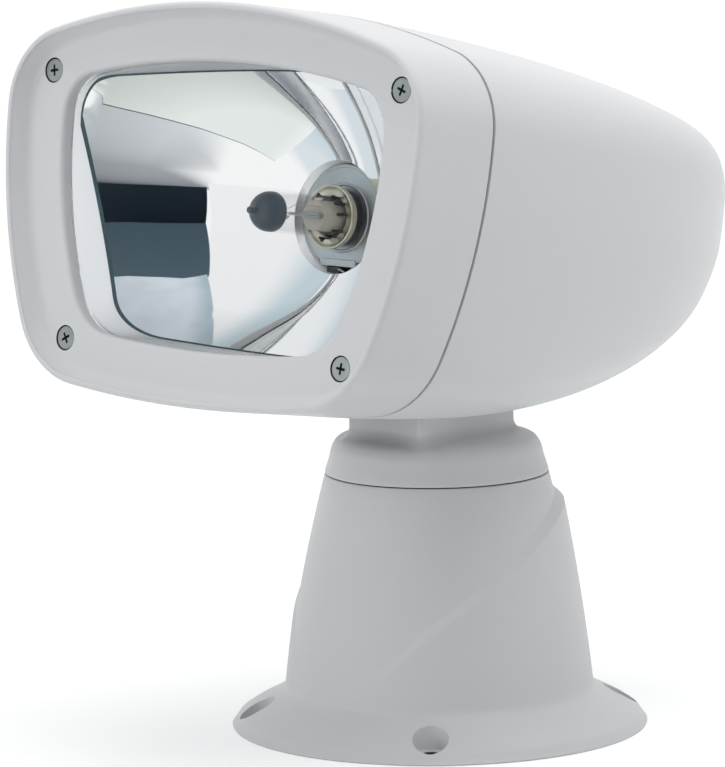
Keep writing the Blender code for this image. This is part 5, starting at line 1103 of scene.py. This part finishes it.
def flag(name, rows, material):
    """A sheet through rows of points. Its colour runs from the first row to the last."""
    width, count = len(rows[0]), len(rows)
    faces = []
    for j in range(count - 1):
        for i in range(width - 1):
            corner = j * width + i
            faces.append((corner, corner + 1, corner + width + 1, corner + width))
    mesh = bpy.data.meshes.new(name)
    mesh.from_pydata([point for row in rows for point in row], [], faces)
    layer = mesh.uv_layers.new(name="along")
    for loop in mesh.loops:
        j, i = divmod(loop.vertex_index, width)
        layer.data[loop.index].uv = (i / (width - 1), j / (count - 1))
    mesh.materials.append(material)
    thing = bpy.data.objects.new(name, mesh)
    bpy.context.scene.collection.objects.link(thing)
    thing.visible_camera = False
    thing.visible_diffuse = False
    thing.visible_shadow = False
    thing.visible_transmission = False


def around(azimuth, z, distance=1.5):
    """Point on a circle about the lamp head."""
    x, y = polar(distance, math.radians(azimuth))
    return (x, y - 0.10, z)


WHITE = (1.0, 1.0, 1.0)
paper = glowing("pale_paper", (0.85, 0.89, 0.86), (0.79, 0.84, 0.81), (0.93, 1.0, (0.92, 0.94, 0.94)))
paper_edge = glowing("paper_edge", (0.08, 0.12, 0.13), (0.10, 0.15, 0.16))
table = glowing("grey_table", (0.70, 0.73, 0.76), (0.03, 0.05, 0.07), (0.62, 0.98, WHITE))
black_board = glowing("black_board", (0.012, 0.019, 0.027), (0.006, 0.010, 0.017))
slate_board = glowing("slate_board", (0.055, 0.088, 0.113), (0.074, 0.113, 0.143))
grey_ceiling = glowing("grey_ceiling", (0.68, 0.74, 0.80), (0.66, 0.73, 0.78),
                       (0.86, 1.0, (0.42, 0.52, 0.58)), 0.10)
pale_wall = glowing("pale_wall", (0.92, 0.925, 0.94), (0.84, 0.86, 0.86), (0.42, 0.85, (0.55, 0.66, 0.71)))
bright_floor = glowing("bright_floor", WHITE, (0.98, 0.98, 0.99), (0.42, 0.95, (0.46, 0.60, 0.68)))

edge = [(0.300, -0.24), (0.268, -0.287), (0.237, -0.321), (0.205, -0.350), (0.140, -0.412),
        (0.082, -0.490), (0.0, -0.65)]
flag("paper_flag", [[(x, y, 0.002) for x, y in edge],
                    [(x - 0.55, y + 0.81, 0.002) for x, y in edge]], paper)
flag("paper_edge_flag", [[(x * 1.008, y * 1.008, 0.003) for x, y in edge],
                         [(x * 0.994, y * 0.994, 0.003) for x, y in edge]], paper_edge)
flag("table_flag", [
    [(0.06, 0.16, 0.001), (0.16, -0.30, 0.001), (0.04, -0.42, 0.001)],
    [around(-8.0, 0.001, 1.2), around(-36.0, 0.001, 1.2), around(-62.0, 0.001, 1.2)],
    [around(-10.0, 0.001, 8.0), around(-36.0, 0.001, 8.0), around(-59.0, 0.001, 8.0)],
], table)
flag("bright_floor_flag", [
    [(0.12, -0.36, 0.0005), (0.01, -0.50, 0.0005), (-0.10, -0.42, 0.0005), (-0.40, 0.0, 0.0005)],
    [around(azimuth, 0.0005, 9.0) for azimuth in (-50.0, -85.0, -112.0, -150.0)],
], bright_floor)

# The black board stands under the slate board, and they share an edge
board_edge = [around(-18.0, 0.62), around(-36.0, 0.63), around(-55.0, 0.65)]
flag("black_flag", [[around(-18.0, 0.185), around(-36.0, 0.175), around(-56.0, 0.13)], board_edge],
     black_board)
flag("slate_flag", [board_edge, [around(-18.0, 1.32), around(-36.0, 1.46), around(-60.5, 1.72)]],
     slate_board)
flag("ceiling_flag", [[(2.6, -1.3, 1.62), (0.98, -1.58, 1.62)],
                      [(2.0, 0.5, 1.62), (-0.50, -0.20, 1.62)]], grey_ceiling)
flag("wall_flag", [[around(-56.3 - 11.0 * i, z, distance) for i in range(9)] for z, distance in (
    (0.01, 2.2), (1.60, 2.2), (5.50, 2.2), (9.0, 1.0), (9.5, 0.02))], pale_wall)

# Camera at the photograph's place, with its focal length and height in the photograph's pixels
FOCAL_LENGTH = 4672.0
PICTURE_HEIGHT = 767.0
SENSOR_SIZE = 36.0
camera_data = bpy.data.cameras.new("camera")
camera_data.sensor_fit = "AUTO"
camera_data.sensor_width = SENSOR_SIZE
camera_data.lens = FOCAL_LENGTH * SENSOR_SIZE / PICTURE_HEIGHT
camera_data.clip_end = 50.0
camera = bpy.data.objects.new("camera", camera_data)
right = Vector((0.73008, 0.68320, -0.01486))
up = Vector((-0.08483, 0.11220, 0.99006))
back = Vector((0.67808, -0.72156, 0.13987))
turn = Matrix((right, up, back)).transposed().to_4x4()
camera.matrix_world = Matrix.Translation((1.2623, -1.3865, 0.4047)) @ turn
bpy.context.scene.collection.objects.link(camera)
bpy.context.scene.camera = camera
bpy.context.scene.view_settings.view_transform = "Standard"
